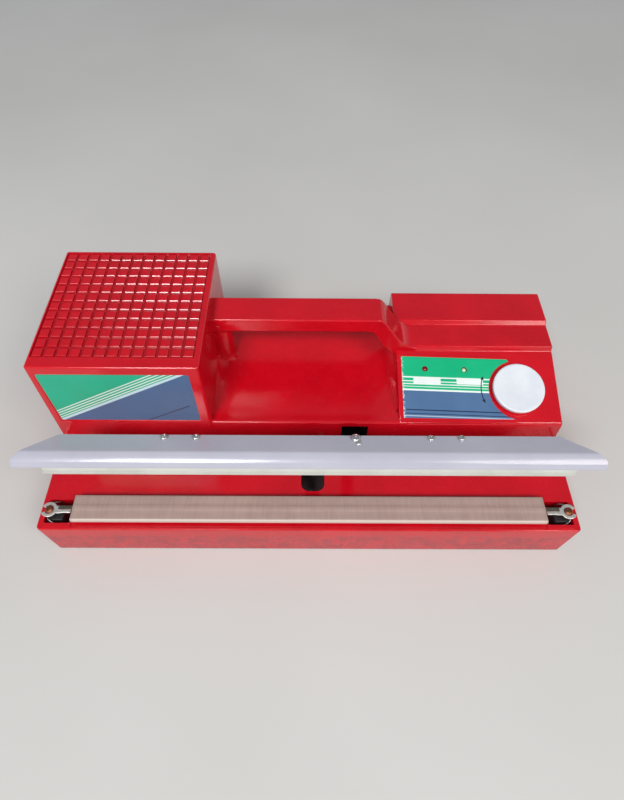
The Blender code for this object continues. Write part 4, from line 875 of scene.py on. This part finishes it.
def printedPanelLabel():
    # polyester film, screen printed: bands, blank caption patches and a chipped white edge on the left
    material, tree, shader, place = startMaterial("printedPanelLabel", {"IOR": 1.48, "Specular IOR Level": 0.4})
    foot = (onPanel(0, 0) - lipShift) * 0.001
    up = panelUp
    tilt = panelLabel["tilt"]
    axes = addNode(tree, "ShaderNodeSeparateXYZ", {}, {"Vector": place})
    rise = addNode(tree, "ShaderNodeVectorMath", {"operation": "DOT_PRODUCT"},
        {0: place, 1: (-tilt * 1000, up.y * 1000, up.z * 1000)})
    start = 1000 * (up.y * foot.y + up.z * foot.z) - tilt * panelLabel["left"]
    span = 60.0
    along = addNode(tree, "ShaderNodeMath", {"operation": "SUBTRACT"}, {0: rise.outputs["Value"], 1: start})
    share = addNode(tree, "ShaderNodeMath", {"operation": "MULTIPLY_ADD"},
        {0: along.outputs["Value"], 1: 1 / span, 2: 10 / span})
    ramp = addNode(tree, "ShaderNodeValToRGB", {}, {"Fac": share.outputs["Value"]})
    printed = setStops(ramp, [((z + 10) / span, panelLabel[ink]) for z, ink in panelBands], "CONSTANT")
    for left, right, middle, half in panelLabel["patches"]:
        wide = addNode(tree, "ShaderNodeMath", {"operation": "COMPARE"},
            {0: axes.outputs["X"], 1: (left + right) / 2000, 2: (right - left) / 2000})
        tall = addNode(tree, "ShaderNodeMath", {"operation": "COMPARE"},
            {0: along.outputs["Value"], 1: middle, 2: half})
        patch = addNode(tree, "ShaderNodeMath", {"operation": "MULTIPLY"},
            {0: wide.outputs["Value"], 1: tall.outputs["Value"]})
        printed = addNode(tree, "ShaderNodeMix", {"data_type": "RGBA"},
            {"Factor": patch.outputs["Value"], "A": printed, "B": colourOf(panelLabel["white"])}).outputs["Result"]
    nearEdge = addNode(tree, "ShaderNodeMapRange", {"clamp": True},
        {"Value": axes.outputs["X"], "From Min": (panelLabel["left"] + 1.6) / 1000,
        "From Max": panelLabel["left"] / 1000})
    chips = wearOf(tree, place, *panelLabel["chips"])
    chipped = addNode(tree, "ShaderNodeMath", {"operation": "MULTIPLY"}, {0: nearEdge.outputs["Result"], 1: chips})
    edged = addNode(tree, "ShaderNodeMix", {"data_type": "RGBA"},
        {"Factor": chipped.outputs["Value"], "A": printed, "B": colourOf(panelLabel["edge"])})
    fade = addNode(tree, "ShaderNodeTexNoise", {}, {"Vector": place, "Scale": 60, "Detail": 5})
    value = addNode(tree, "ShaderNodeMapRange", {}, {"Value": fade.outputs["Fac"], "From Min": 0.3, "From Max": 0.7,
        "To Min": 0.94, "To Max": 1.05})
    aged = addNode(tree, "ShaderNodeHueSaturation", {},
        {"Color": edged.outputs["Result"], "Value": value.outputs["Result"]})
    shine = addNode(tree, "ShaderNodeMapRange", {"clamp": True},
        {"Value": fade.outputs["Fac"], "From Min": 0.3, "From Max": 0.7, "To Min": 0.26, "To Max": 0.4})
    bump = addNode(tree, "ShaderNodeBump", {}, {"Height": chipped.outputs["Value"], "Strength": 0.4,
        "Distance": 0.00005})
    tree.links.new(aged.outputs["Color"], shader.inputs["Base Color"])
    tree.links.new(shine.outputs["Result"], shader.inputs["Roughness"])
    tree.links.new(bump.outputs["Normal"], shader.inputs["Normal"])
    return material


def buildPanelLabel():
    centre, radius = plateau["arcCentre"], panelLabel["cutRadius"]
    reach = math.degrees(math.asin(panelLabel["cutReach"] / radius))
    arc = arcPoints(centre, radius, 180 - reach, 180 + reach, 37)
    left, low = panelLabel["left"], panelLabel["lowEdge"]
    upper, lower = panelLabel["cutInset"]
    outline = [(left, panelLabel["topLeft"]), (arc[0][0] - upper, panelLabel["topRight"])] + arc
    outline += [(arc[-1][0] - lower, low - panelLabel["cutDrop"]), (left, low)]
    bm = extrudedOutline(outline, "Z", -panelLabel["half"], panelLabel["half"])
    for name in ("power_lamp", "warm_lamp"):
        low, high = nodeBox(name)
        middle = (low + high) / 2 - onPanel(0, 0)
        bm = combined(bm, plug(panelLabel["lampHole"], -2, 2, 24, (middle.x, middle.dot(panelUp), 0)))
    makePiece("panelFilm", laidOnPanel(bm), printedPanelLabel(), "base", ["panel_label"])
    # the turning mark, a thin curved double arrow of raised ink
    mark = panelLabel["arc"]
    knobAt = (knobPlace.x, knobAlong)
    sweep, head = mark["sweep"], math.degrees(mark["head"] / mark["radius"])
    outer = arcPoints(knobAt, mark["radius"] + mark["half"], 180 - sweep, 180 + sweep, 21)
    inner = arcPoints(knobAt, mark["radius"] - mark["half"], 180 + sweep, 180 - sweep, 21)
    half = mark["headHalf"]
    tips = []
    for side in (1, -1):
        for shift, extra in ((half * side, 0), (0, head), (-half * side, 0)):
            tips.append(arcPoints(knobAt, mark["radius"] + shift, 180 + side * (sweep + extra), 0, 2)[0])
    arrow = extrudedOutline(outer + tips[:3] + inner + tips[3:], "Z", *mark["heights"])
    makePiece("turnMark", laidOnPanel(arrow), made["printInk"], "base", [])


lamp = {
    "flange": 1.9, "flangeTop": 0.9, "radius": 1.5, "shoulder": 4.1, "crown": 1.1, "sunk": 2.6,
    "ring": [(1.5, 4.55), (1.72, 4.55), (1.78, 4.75), (1.72, 4.92), (1.54, 4.92)],
    "kinds": (("power", "redLens", "lamp_red"), ("warm", "greenLens", "lamp_green")),
}


def buildLamps():
    radius, shoulder = lamp["radius"], lamp["shoulder"]
    for kind, lens, lensSlot in lamp["kinds"]:
        low, high = nodeBox(kind + "_lamp")
        base = (low + high) / 2 - panelOut * lamp["sunk"]
        turns = [math.radians(degrees) for degrees in range(12, 90, 12)]
        dome = [(0, 0), (lamp["flange"], 0), (lamp["flange"], lamp["flangeTop"]), (radius, 1.0), (radius, shoulder)]
        dome += [(radius * math.cos(a), shoulder + lamp["crown"] * math.sin(a)) for a in turns]
        dome.append((0, shoulder + lamp["crown"]))
        bm = spunProfile(dome, 32, base, panelOut)
        makePiece(kind + "LampLens", bm, made[lens], "base", [kind + "_lamp"])
        bm = spunProfile(lamp["ring"], 32, base, panelOut)
        makePiece(kind + "LampRing", bm, made["blackPhenolic"], "base", [])


buildFrontLabel()
buildPanelLabel()
buildLamps()
print("labels and lamps done")


knob = {"rim": 0.9, "gap": 0.6, "skirt": 2.3, "lid": 1.9, "hub": 5.4, "bore": 3.4, "boreLid": 1.5, "hubFoot": 2.4}


def buildKnob():
    low, high = nodeBox("timer_knob")
    radius = (high.x - low.x) / 2
    tall = (high.z - low.z - 2 * radius * abs(panelOut.y)) / panelOut.z + knob["gap"]
    turns = [math.radians(degrees) for degrees in range(0, 91, 15)]
    soft = knob["rim"]
    # a slightly dished face, a round rim, a straight skirt, then the hollow back with its hub
    profile = [(0, tall - 0.5), (radius * 0.4, tall - 0.42), (radius * 0.8, tall - 0.16), (radius - 1.8, tall - 0.03)]
    profile += [(radius - soft + soft * math.sin(a), tall - soft + soft * math.cos(a)) for a in turns]
    profile += [(radius - 0.25, 1.0), (radius - 0.6, knob["gap"]), (radius - 2.0, knob["gap"])]
    profile += [(radius - knob["skirt"], tall - knob["lid"]), (knob["hub"], tall - knob["lid"])]
    profile += [(knob["hub"], knob["hubFoot"]), (knob["bore"], knob["hubFoot"])]
    profile += [(knob["bore"], tall - knob["boreLid"]), (0, tall - knob["boreLid"])]
    bm = spunProfile(profile, 96, knobPlace, panelOut)
    makePiece("timerKnob", bm, made["whiteKnob"], "timer", ["timer_knob"], sharp=40)
    print("knob radius", round(radius, 2), "height", round(tall, 2))


buildKnob()


# the press is drawn shut and then swung open
bar = {
    "length": 321.0, "rear": 23.5, "nose": 4.0, "top": 50.9, "sheet": 1.2, "mitre": 20.4, "tip": 1.6,
    "outer": [(23.5, 0), (17.0, -0.02), (10.4, -0.05), (9.2, -0.18), (8.3, -0.6), (6.4, -2.3), (5.0, -4.0),
        (4.3, -5.4), (4.0, -6.6), (4.05, -7.7)],
    "round": 0.28, "hole": 1.7,
}
# the last one holds the strap
screwPlaces = [(-80.9, 21.0), (-63.3, 21.0), (67.5, 21.0), (84.5, 21.0), (25.5, 20.8)]


def buildBar():
    outer = smoothLine(bar["outer"], 3)
    inner = []
    for i, (y, z) in enumerate(outer):
        a, b = outer[max(i - 1, 0)], outer[min(i + 1, len(outer) - 1)]
        ahead = Vector((b[0] - a[0], b[1] - a[1])).normalized()
        inner.append((y - ahead.y * bar["sheet"], z + ahead.x * bar["sheet"]))
    loop = [(y, bar["top"] + z) for y, z in outer + inner[::-1]]
    bm = extrudedOutline(loop, "X", -1, 1)
    for vert in bm.verts:
        back = max(0, vert.co.y - bar["nose"] - bar["tip"])
        vert.co.x *= bar["length"] / 2 - back * bar["mitre"] / (bar["rear"] - bar["nose"] - bar["tip"])
    bevelEdges(bm, edgesOver(bm, 50), bar["round"], 2)
    for x, y in screwPlaces:
        bm = combined(bm, plug(bar["hole"], 40, 60, 20, (x, y, 0)))
    makePiece("pressBar", swungOpen(bm), made["barPaint"], "press", ["press_bar"], sharp=40,
        weighted=True)


screw = {"head": 2.2, "rise": 1.5, "seat": 0.06, "shank": 1.45, "foot": 46.2, "crossHalf": 0.42, "crossShare": 0.62,
    "crossDeep": 0.95}
longScrew = {"head": 2.9, "rise": 1.9, "shank": 1.45, "foot": 40.0}
rivet = {"shift": (1.4, -3.6), "profile": [(0, 0.95), (0.8, 0.9), (1.5, 0.6), (1.9, 0.05), (1.9, -0.6), (0, -0.6)]}
nut = [(2.0, 41.6), (2.75, 41.6), (2.9, 41.8), (2.9, 43.7), (2.75, 43.9), (2.0, 43.9)]


def panHead(x, y, radius, rise, low, shank):
    top = bar["top"] + screw["seat"]
    turns = [math.radians(degrees) for degrees in range(15, 91, 15)]
    crown = [(radius * math.sin(a), top + rise * 0.35 + rise * 0.65 * math.cos(a)) for a in turns]
    profile = [(0, top + rise)] + crown + [(radius, top), (shank, top), (shank, low), (0, low - 0.4)]
    bm = spunProfile(profile, 32, (x, y, 0))
    half, wide = screw["crossHalf"], screw["crossShare"] * radius
    for a, b in ((wide, half), (half, wide)):
        bm = combined(bm, boxBetween((x - a, y - b, top + rise - screw["crossDeep"]), (x + a, y + b, top + rise + 1)))
    return bm


def buildBarScrews():
    zinc = made["zincScrew"]
    for number, (x, y) in enumerate(screwPlaces[:4], 1):
        bm = swungOpen(panHead(x, y, screw["head"], screw["rise"], screw["foot"], screw["shank"]))
        makePiece("crossScrew%d" % number, bm, zinc, "press", ["bar_screw_%d" % number], sharp=45)
    x, y = screwPlaces[4]
    bm = swungOpen(panHead(x, y, longScrew["head"], longScrew["rise"], longScrew["foot"], longScrew["shank"]))
    makePiece("longScrew", bm, zinc, "press", ["strap_screw"], sharp=45)
    profile = [(radius, bar["top"] + rise) for radius, rise in rivet["profile"]]
    bm = spunProfile(profile, 28, (x + rivet["shift"][0], y + rivet["shift"][1], 0))
    makePiece("barRivet", swungOpen(bm), zinc, "press", [])
    makePiece("hexNut", swungOpen(spunProfile(nut, 6, (x, y, 0))), zinc, "press", ["strap_nut"],
        sharp=30)


jaw = {
    "channel": [(6.4, 42.4), (8.1, 42.4), (8.1, 44.6), (15.9, 44.6), (15.9, 42.4), (17.6, 42.4), (17.6, 46.4),
        (6.4, 46.4)],
    "channelHalf": 146.5, "channelRound": 0.3,
    "strip": [
        (4.75, 38.1), (16.7, 38.1), (16.8, 38.3), (16.8, 42.2), (15.6, 42.2), (15.6, 44.3), (8.4, 44.3), (8.4, 42.2),
        (5.2, 42.2), (5.1, 40.0), (4.6, 39.7), (4.6, 38.3),
    ],
    "stripHalf": 145.0, "stripRound": 0.22,
}


def buildJaw():
    for part, name, finish, node, slot in (
            ("channel", "stripChannel", "whiteChannel", "silicone_holder", "holder_alloy"),
            ("strip", "siliconeStrip", "creamSilicone", "silicone_strip", "silicone")):
        bm = extrudedOutline(jaw[part], "X", -jaw[part + "Half"], jaw[part + "Half"])
        bevelEdges(bm, edgesOver(bm, 60), jaw[part + "Round"], 2)
        makePiece(name, swungOpen(bm), made[finish], "press", [node])


buildBar()
buildBarScrews()
buildJaw()
print("press done")


cloth = {
    # the fold colour is a painted highlight along the cloth's front edge
    "dark": "#9d837d", "light": "#ab928b", "streak": "#c7b4a4", "crossing": "#d3c3b2", "foldHighlight": "#e2d8cb",
    "foldHighlightY": (5.4, 4.5), "foldHighlightShare": 0.6, "streakShare": 0.16, "crossingShare": 0.22,
    "slubsPerMetre": (700, 60, 60), "columns": 140,
    # metres between threads; the real cloth is nearer 0.5 mm, drawn wider so that it shows
    "half": 140.0, "thick": 0.25, "thread": 0.0011,
    "section": [(4.25, 34.0), (4.2, 35.4), (4.22, 36.4), (4.5, 37.02), (5.3, 37.28), (7.4, 37.3), (9.6, 37.32),
        (10.7, 37.5), (11.5, 37.64), (12.2, 37.66), (12.9, 37.64), (13.7, 37.5), (14.8, 37.32), (17.0, 37.3),
        (19.1, 37.28), (20.05, 37.05), (20.45, 36.4), (20.5, 35.2), (20.45, 34.0)],
}


def wovenGlass():
    # PTFE-coated glass cloth: tan and translucent over the bar, a plain weave under a waxy coat, not darkened where
    # heated
    material, tree, shader, place = startMaterial("wovenGlass",
        {"IOR": 1.38, "Sheen Weight": 0.15, "Sheen Roughness": 0.4})
    axes = addNode(tree, "ShaderNodeSeparateXYZ", {}, {"Vector": place})
    waves = 2 / cloth["thread"] / 6.2832   # gives about one wave to a thread
    warp = addNode(tree, "ShaderNodeTexWave", {"wave_type": "BANDS", "bands_direction": "X"},
        {"Vector": place, "Scale": waves, "Distortion": 0.6, "Detail": 2, "Detail Scale": 1.5})
    weft = addNode(tree, "ShaderNodeTexWave", {"wave_type": "BANDS", "bands_direction": "Y"},
        {"Vector": place, "Scale": waves, "Distortion": 0.4, "Detail": 1})
    weave = addNode(tree, "ShaderNodeMath", {"operation": "MULTIPLY"},
        {0: warp.outputs["Fac"], 1: weft.outputs["Fac"]})
    clouds = addNode(tree, "ShaderNodeTexNoise", {}, {"Vector": place, "Scale": 28, "Detail": 5, "Roughness": 0.65})
    tint = addNode(tree, "ShaderNodeValToRGB", {}, {"Fac": clouds.outputs["Fac"]})
    base = setStops(tint, [(0.3, cloth["dark"]), (0.7, cloth["light"])])
    slubs = addNode(tree, "ShaderNodeMapping", {}, {"Vector": place, "Scale": cloth["slubsPerMetre"]})
    streaks = addNode(tree, "ShaderNodeTexNoise", {}, {"Vector": slubs.outputs["Vector"], "Scale": 1, "Detail": 3})
    streakMix = addNode(tree, "ShaderNodeMapRange", {"clamp": True},
        {"Value": streaks.outputs["Fac"], "From Min": 0.35, "From Max": 0.65, "To Max": cloth["streakShare"]})
    streaked = addNode(tree, "ShaderNodeMix", {"data_type": "RGBA"},
        {"Factor": streakMix.outputs["Result"], "A": base, "B": colourOf(cloth["streak"])})
    threads = addNode(tree, "ShaderNodeMapRange", {}, {"Value": weave.outputs["Value"],
        "To Max": cloth["crossingShare"]})
    threaded = addNode(tree, "ShaderNodeMix", {"data_type": "RGBA"},
        {"Factor": threads.outputs["Result"], "A": streaked.outputs["Result"], "B": colourOf(cloth["crossing"])})
    shine = addNode(tree, "ShaderNodeMapRange", {}, {"Value": weave.outputs["Value"], "To Min": 0.42, "To Max": 0.3})
    bump = addNode(tree, "ShaderNodeBump", {}, {"Height": weave.outputs["Value"], "Strength": 0.5,
        "Distance": 0.00006})
    start, full = ((y - lipShift.y) / 1000 for y in cloth["foldHighlightY"])   # a painted highlight, paler along the front edge where the cloth folds over it
    foldHighlight = addNode(tree, "ShaderNodeMapRange", {"clamp": True},
        {"Value": axes.outputs["Y"], "From Min": start, "From Max": full, "To Max": cloth["foldHighlightShare"]})
    foldHighlighted = addNode(tree, "ShaderNodeMix", {"data_type": "RGBA"},
        {"Factor": foldHighlight.outputs["Result"], "A": threaded.outputs["Result"], "B": colourOf(cloth["foldHighlight"])})
    tree.links.new(foldHighlighted.outputs["Result"], shader.inputs["Base Color"])
    tree.links.new(shine.outputs["Result"], shader.inputs["Roughness"])
    tree.links.new(bump.outputs["Normal"], shader.inputs["Normal"])
    return material


def buildCloth():
    line = smoothLine(cloth["section"], 3)
    bm = bmesh.new()
    bmesh.ops.create_grid(bm, x_segments=cloth["columns"], y_segments=len(line) - 1, size=0.5)
    for vert in bm.verts:
        y, z = line[round((vert.co.y + 0.5) * (len(line) - 1))]
        x = vert.co.x * 2 * cloth["half"]
        crown = min(1, max(0, (z - 36) / 1.2))
        ripple = 0.035 * math.sin(x * 0.21) * math.sin(y * 0.9) + 0.025 * math.sin(x * 0.057 + 1.3)
        vert.co = (x, y, z + ripple * crown)
    piece = makePiece("coverCloth", bm, wovenGlass(), "base", ["cover_cloth"], sharp=60)
    wall = piece.modifiers.new("clothThickness", "SOLIDIFY")
    wall.thickness = cloth["thick"] * 0.001
    wall.offset = -1


lug = {
    "x": 154.3, "ring": 4.7, "hole": 2.65, "mouth": 27, "neck": 150,   # mouth and neck in degrees from the outer end
    "stem": [(-13, 2.1), (-8.4, 2.0), (-6.2, 2.3)], "round": 0.2,
}
stud = {"root": 1.95, "crest": 2.2, "pitch": 0.5, "tip": 1.6, "plain": 0.9}   # like M4, its thread drawn as rings


def lugOutline():
    # fork lug seen from above: a stem, then a ring with its mouth away from the stem
    mouth, neck = lug["mouth"], lug["neck"]
    ring = arcPoints((0, 0), lug["ring"], neck, mouth, 17) + arcPoints((0, 0), lug["hole"], mouth, 360 - mouth, 27)
    ring += arcPoints((0, 0), lug["ring"], 360 - mouth, 360 - neck, 17)
    return lug["stem"] + ring + [(x, -y) for x, y in lug["stem"][::-1]]


def buildTerminals():
    for name, side in (("left", -1), ("right", 1)):
        body = "terminal_" + name
        low, high = nodeBox("terminal_lug_" + name)
        middleY = (low.y + high.y) / 2
        outline = [(side * (lug["x"] + x), middleY + y) for x, y in lugOutline()]
        bm = extrudedOutline(outline, "Z", low.z, high.z)
        bevelEdges(bm, edgesOver(bm, 60), lug["round"], 2)
        makePiece("forkLug" + name.title(), bm, made["nickelPlate"], body, ["terminal_lug_" + name],
            sharp=50)
        low, high = nodeBox("terminal_stud_" + name)
        thread = []
        z = low.z
        while z < high.z - stud["plain"]:
            thread += [(stud["root"], z), (stud["crest"], z + stud["pitch"] / 2)]
            z += stud["pitch"]
        profile = [(0, low.z)] + thread + [(2.0, high.z - 0.5), (stud["tip"], high.z), (0, high.z)]
        bm = spunProfile(profile, 28, ((low.x + high.x) / 2, (low.y + high.y) / 2, 0))
        makePiece("threadedStud" + name.title(), bm, made["heatedCopper"], body, ["terminal_stud_" + name],
            sharp=30)


hairpin = {
    "radius": 0.36,
    "line": [
        (149.4, 18.7, 28.6), (151.2, 18.3, 31.4), (153.2, 17.0, 33.0), (154.9, 14.8, 33.6), (155.7, 11.7, 33.6),
        (155.3, 8.6, 33.6), (154.2, 6.3, 33.0), (152.2, 5.3, 31.2), (149.6, 5.1, 28.2),
    ],
}


def buildHairpins():
    # sprung wire that leans on the lug from below, its legs dropping into the cup
    for name, side in (("left", -1), ("right", 1)):
        line = smoothLine([(side * x, y, z) for x, y, z in hairpin["line"]], 6)
        node = "hairpin_spring_" + name
        makePiece("hairpin" + name.title(), sweptWire(line, hairpin["radius"]), made["springWire"], "base", [node])


buildCloth()
buildTerminals()
buildHairpins()
print("cloth and terminals done")


# pieces that keep their shape and only get their finish
keptNodes = {
    "zincSheet": ["bottom_plate", "board_bracket", "transformer_seat", "pivot_bracket", "switch_bracket"],
    "zincScrew": ["base_screw_front_left", "base_screw_front_right", "base_screw_back_left", "base_screw_back_right",
        "transformer_bolt_left", "transformer_bolt_right", "timer_nut"],
    "groundSteel": ["timer_shaft", "pivot_axle"],
    "scaledSteel": ["lever_arm", "cross_yoke"],
    "blackenedSteel": ["striker_strap"],
    "springWire": ["return_spring"],
    "millAluminium": ["heater_bar"],
    "firedBand": ["heating_band"],
    "blackPhenolic": ["terminal_block_left", "terminal_block_right", "switch_body"],
    "blackRubber": ["foot_front_left", "foot_front_right", "foot_back_left", "foot_back_right", "cord_gland"],
    "coreIron": ["transformer_core"], "windingWrap": ["primary_coil"], "yellowTape": ["secondary_coil"],
    "boardGreen": ["timer_board"], "relayBlue": ["timer_relay"], "capacitorSleeve": ["timer_capacitor"],
    "potCase": ["timer_pot"],
    "redLead": ["secondary_lead_left"], "blackLead": ["secondary_lead_right"], "redAcetal": ["switch_plunger"],
}
for finish, names in keptNodes.items():
    for name in names:
        node = frame["nodes"][name]
        for place in node.material_slots:
            place.material = made[finish]
print("kept pieces finished")


studio = {
    # pale round the horizon, dimmer overhead
    "floor": 8.0, "floorColour": ("#c9c8c4", "#d2d1ce"), "sky": [(0.0, "#e4e6e8"), (0.12, "#dadde0"),
        (0.42, "#83888e"), (1.0, "#7a7f86")], "skyStrength": 1.0,
    "lights": [   # place, aim, size, power in watts, colour
        ("keyLight", (-0.55, -1.35, 1.75), (0, 0, 0.05), 0.6, 34, "#ffffff"),
        ("fillLight", (1.0, -1.1, 1.5), (0, 0, 0.05), 0.8, 15, "#fff8f2"),
    ],
}
camera = {"place": (-0.00028, -0.21386, 0.34799), "pitch": 54.1, "yaw": 0.43, "roll": -0.64, "lens": 25.534,
    "sensor": 36.0, "shift": -0.00385}


def buildFloor():
    bm = bmesh.new()
    bmesh.ops.create_grid(bm, x_segments=1, y_segments=1, size=studio["floor"] / 2)
    mesh = bpy.data.meshes.new("floor")
    bm.to_mesh(mesh)
    bm.free()
    floor = bpy.data.objects.new("floor", mesh)
    bpy.context.scene.collection.objects.link(floor)
    # matt seamless paper, barely toned
    material, tree, shader, place = startMaterial("seamlessPaper", {"Roughness": 0.85, "Specular IOR Level": 0.2})
    clouds = addNode(tree, "ShaderNodeTexNoise", {}, {"Vector": place, "Scale": 3, "Detail": 3})
    tint = addNode(tree, "ShaderNodeValToRGB", {}, {"Fac": clouds.outputs["Fac"]})
    paper = setStops(tint, [(0.3, studio["floorColour"][0]), (0.7, studio["floorColour"][1])])
    tree.links.new(paper, shader.inputs["Base Color"])
    mesh.materials.append(material)


def buildLights():
    world = bpy.data.worlds.new("paleStudio")
    bpy.context.scene.world = world
    world.use_nodes = True
    tree = world.node_tree
    ahead = addNode(tree, "ShaderNodeTexCoord").outputs["Generated"]
    axes = addNode(tree, "ShaderNodeSeparateXYZ", {}, {"Vector": ahead})
    sky = setStops(addNode(tree, "ShaderNodeValToRGB", {}, {"Fac": axes.outputs["Z"]}), studio["sky"])
    tree.links.new(sky, tree.nodes["Background"].inputs["Color"])
    tree.nodes["Background"].inputs["Strength"].default_value = studio["skyStrength"]
    for name, place, aim, size, power, tone in studio["lights"]:
        lamp = bpy.data.lights.new(name, "AREA")
        lamp.shape = "SQUARE"
        lamp.size = size
        lamp.energy = power
        lamp.color = colourOf(tone)[:3]
        light = bpy.data.objects.new(name, lamp)
        bpy.context.scene.collection.objects.link(light)
        light.location = place
        light.rotation_euler = (Vector(aim) - Vector(place)).to_track_quat("-Z", "Y").to_euler()


def buildCamera():
    pitch, yaw, roll = (math.radians(camera[key]) for key in ("pitch", "yaw", "roll"))
    ahead = Vector((math.sin(yaw) * math.cos(pitch), math.cos(yaw) * math.cos(pitch), -math.sin(pitch)))
    right = Vector((math.cos(yaw), -math.sin(yaw), 0))
    down = -right.cross(ahead)
    tiltedRight = right * math.cos(roll) + down * math.sin(roll)
    tiltedDown = -right * math.sin(roll) + down * math.cos(roll)
    lens = bpy.data.cameras.new("studioCamera")
    lens.sensor_fit = "VERTICAL"
    lens.sensor_height = camera["sensor"]
    lens.lens = camera["lens"]
    lens.shift_y = camera["shift"]
    lens.clip_start = 0.01
    view = bpy.data.objects.new("studioCamera", lens)
    bpy.context.scene.collection.objects.link(view)
    view.matrix_world = Matrix.Translation(camera["place"]) @ Matrix((tiltedRight, -tiltedDown,
        -ahead)).transposed().to_4x4()
    bpy.context.scene.camera = view


buildFloor()
buildLights()
buildCamera()
bpy.context.scene.view_settings.view_transform = "Standard"
print("studio ready")
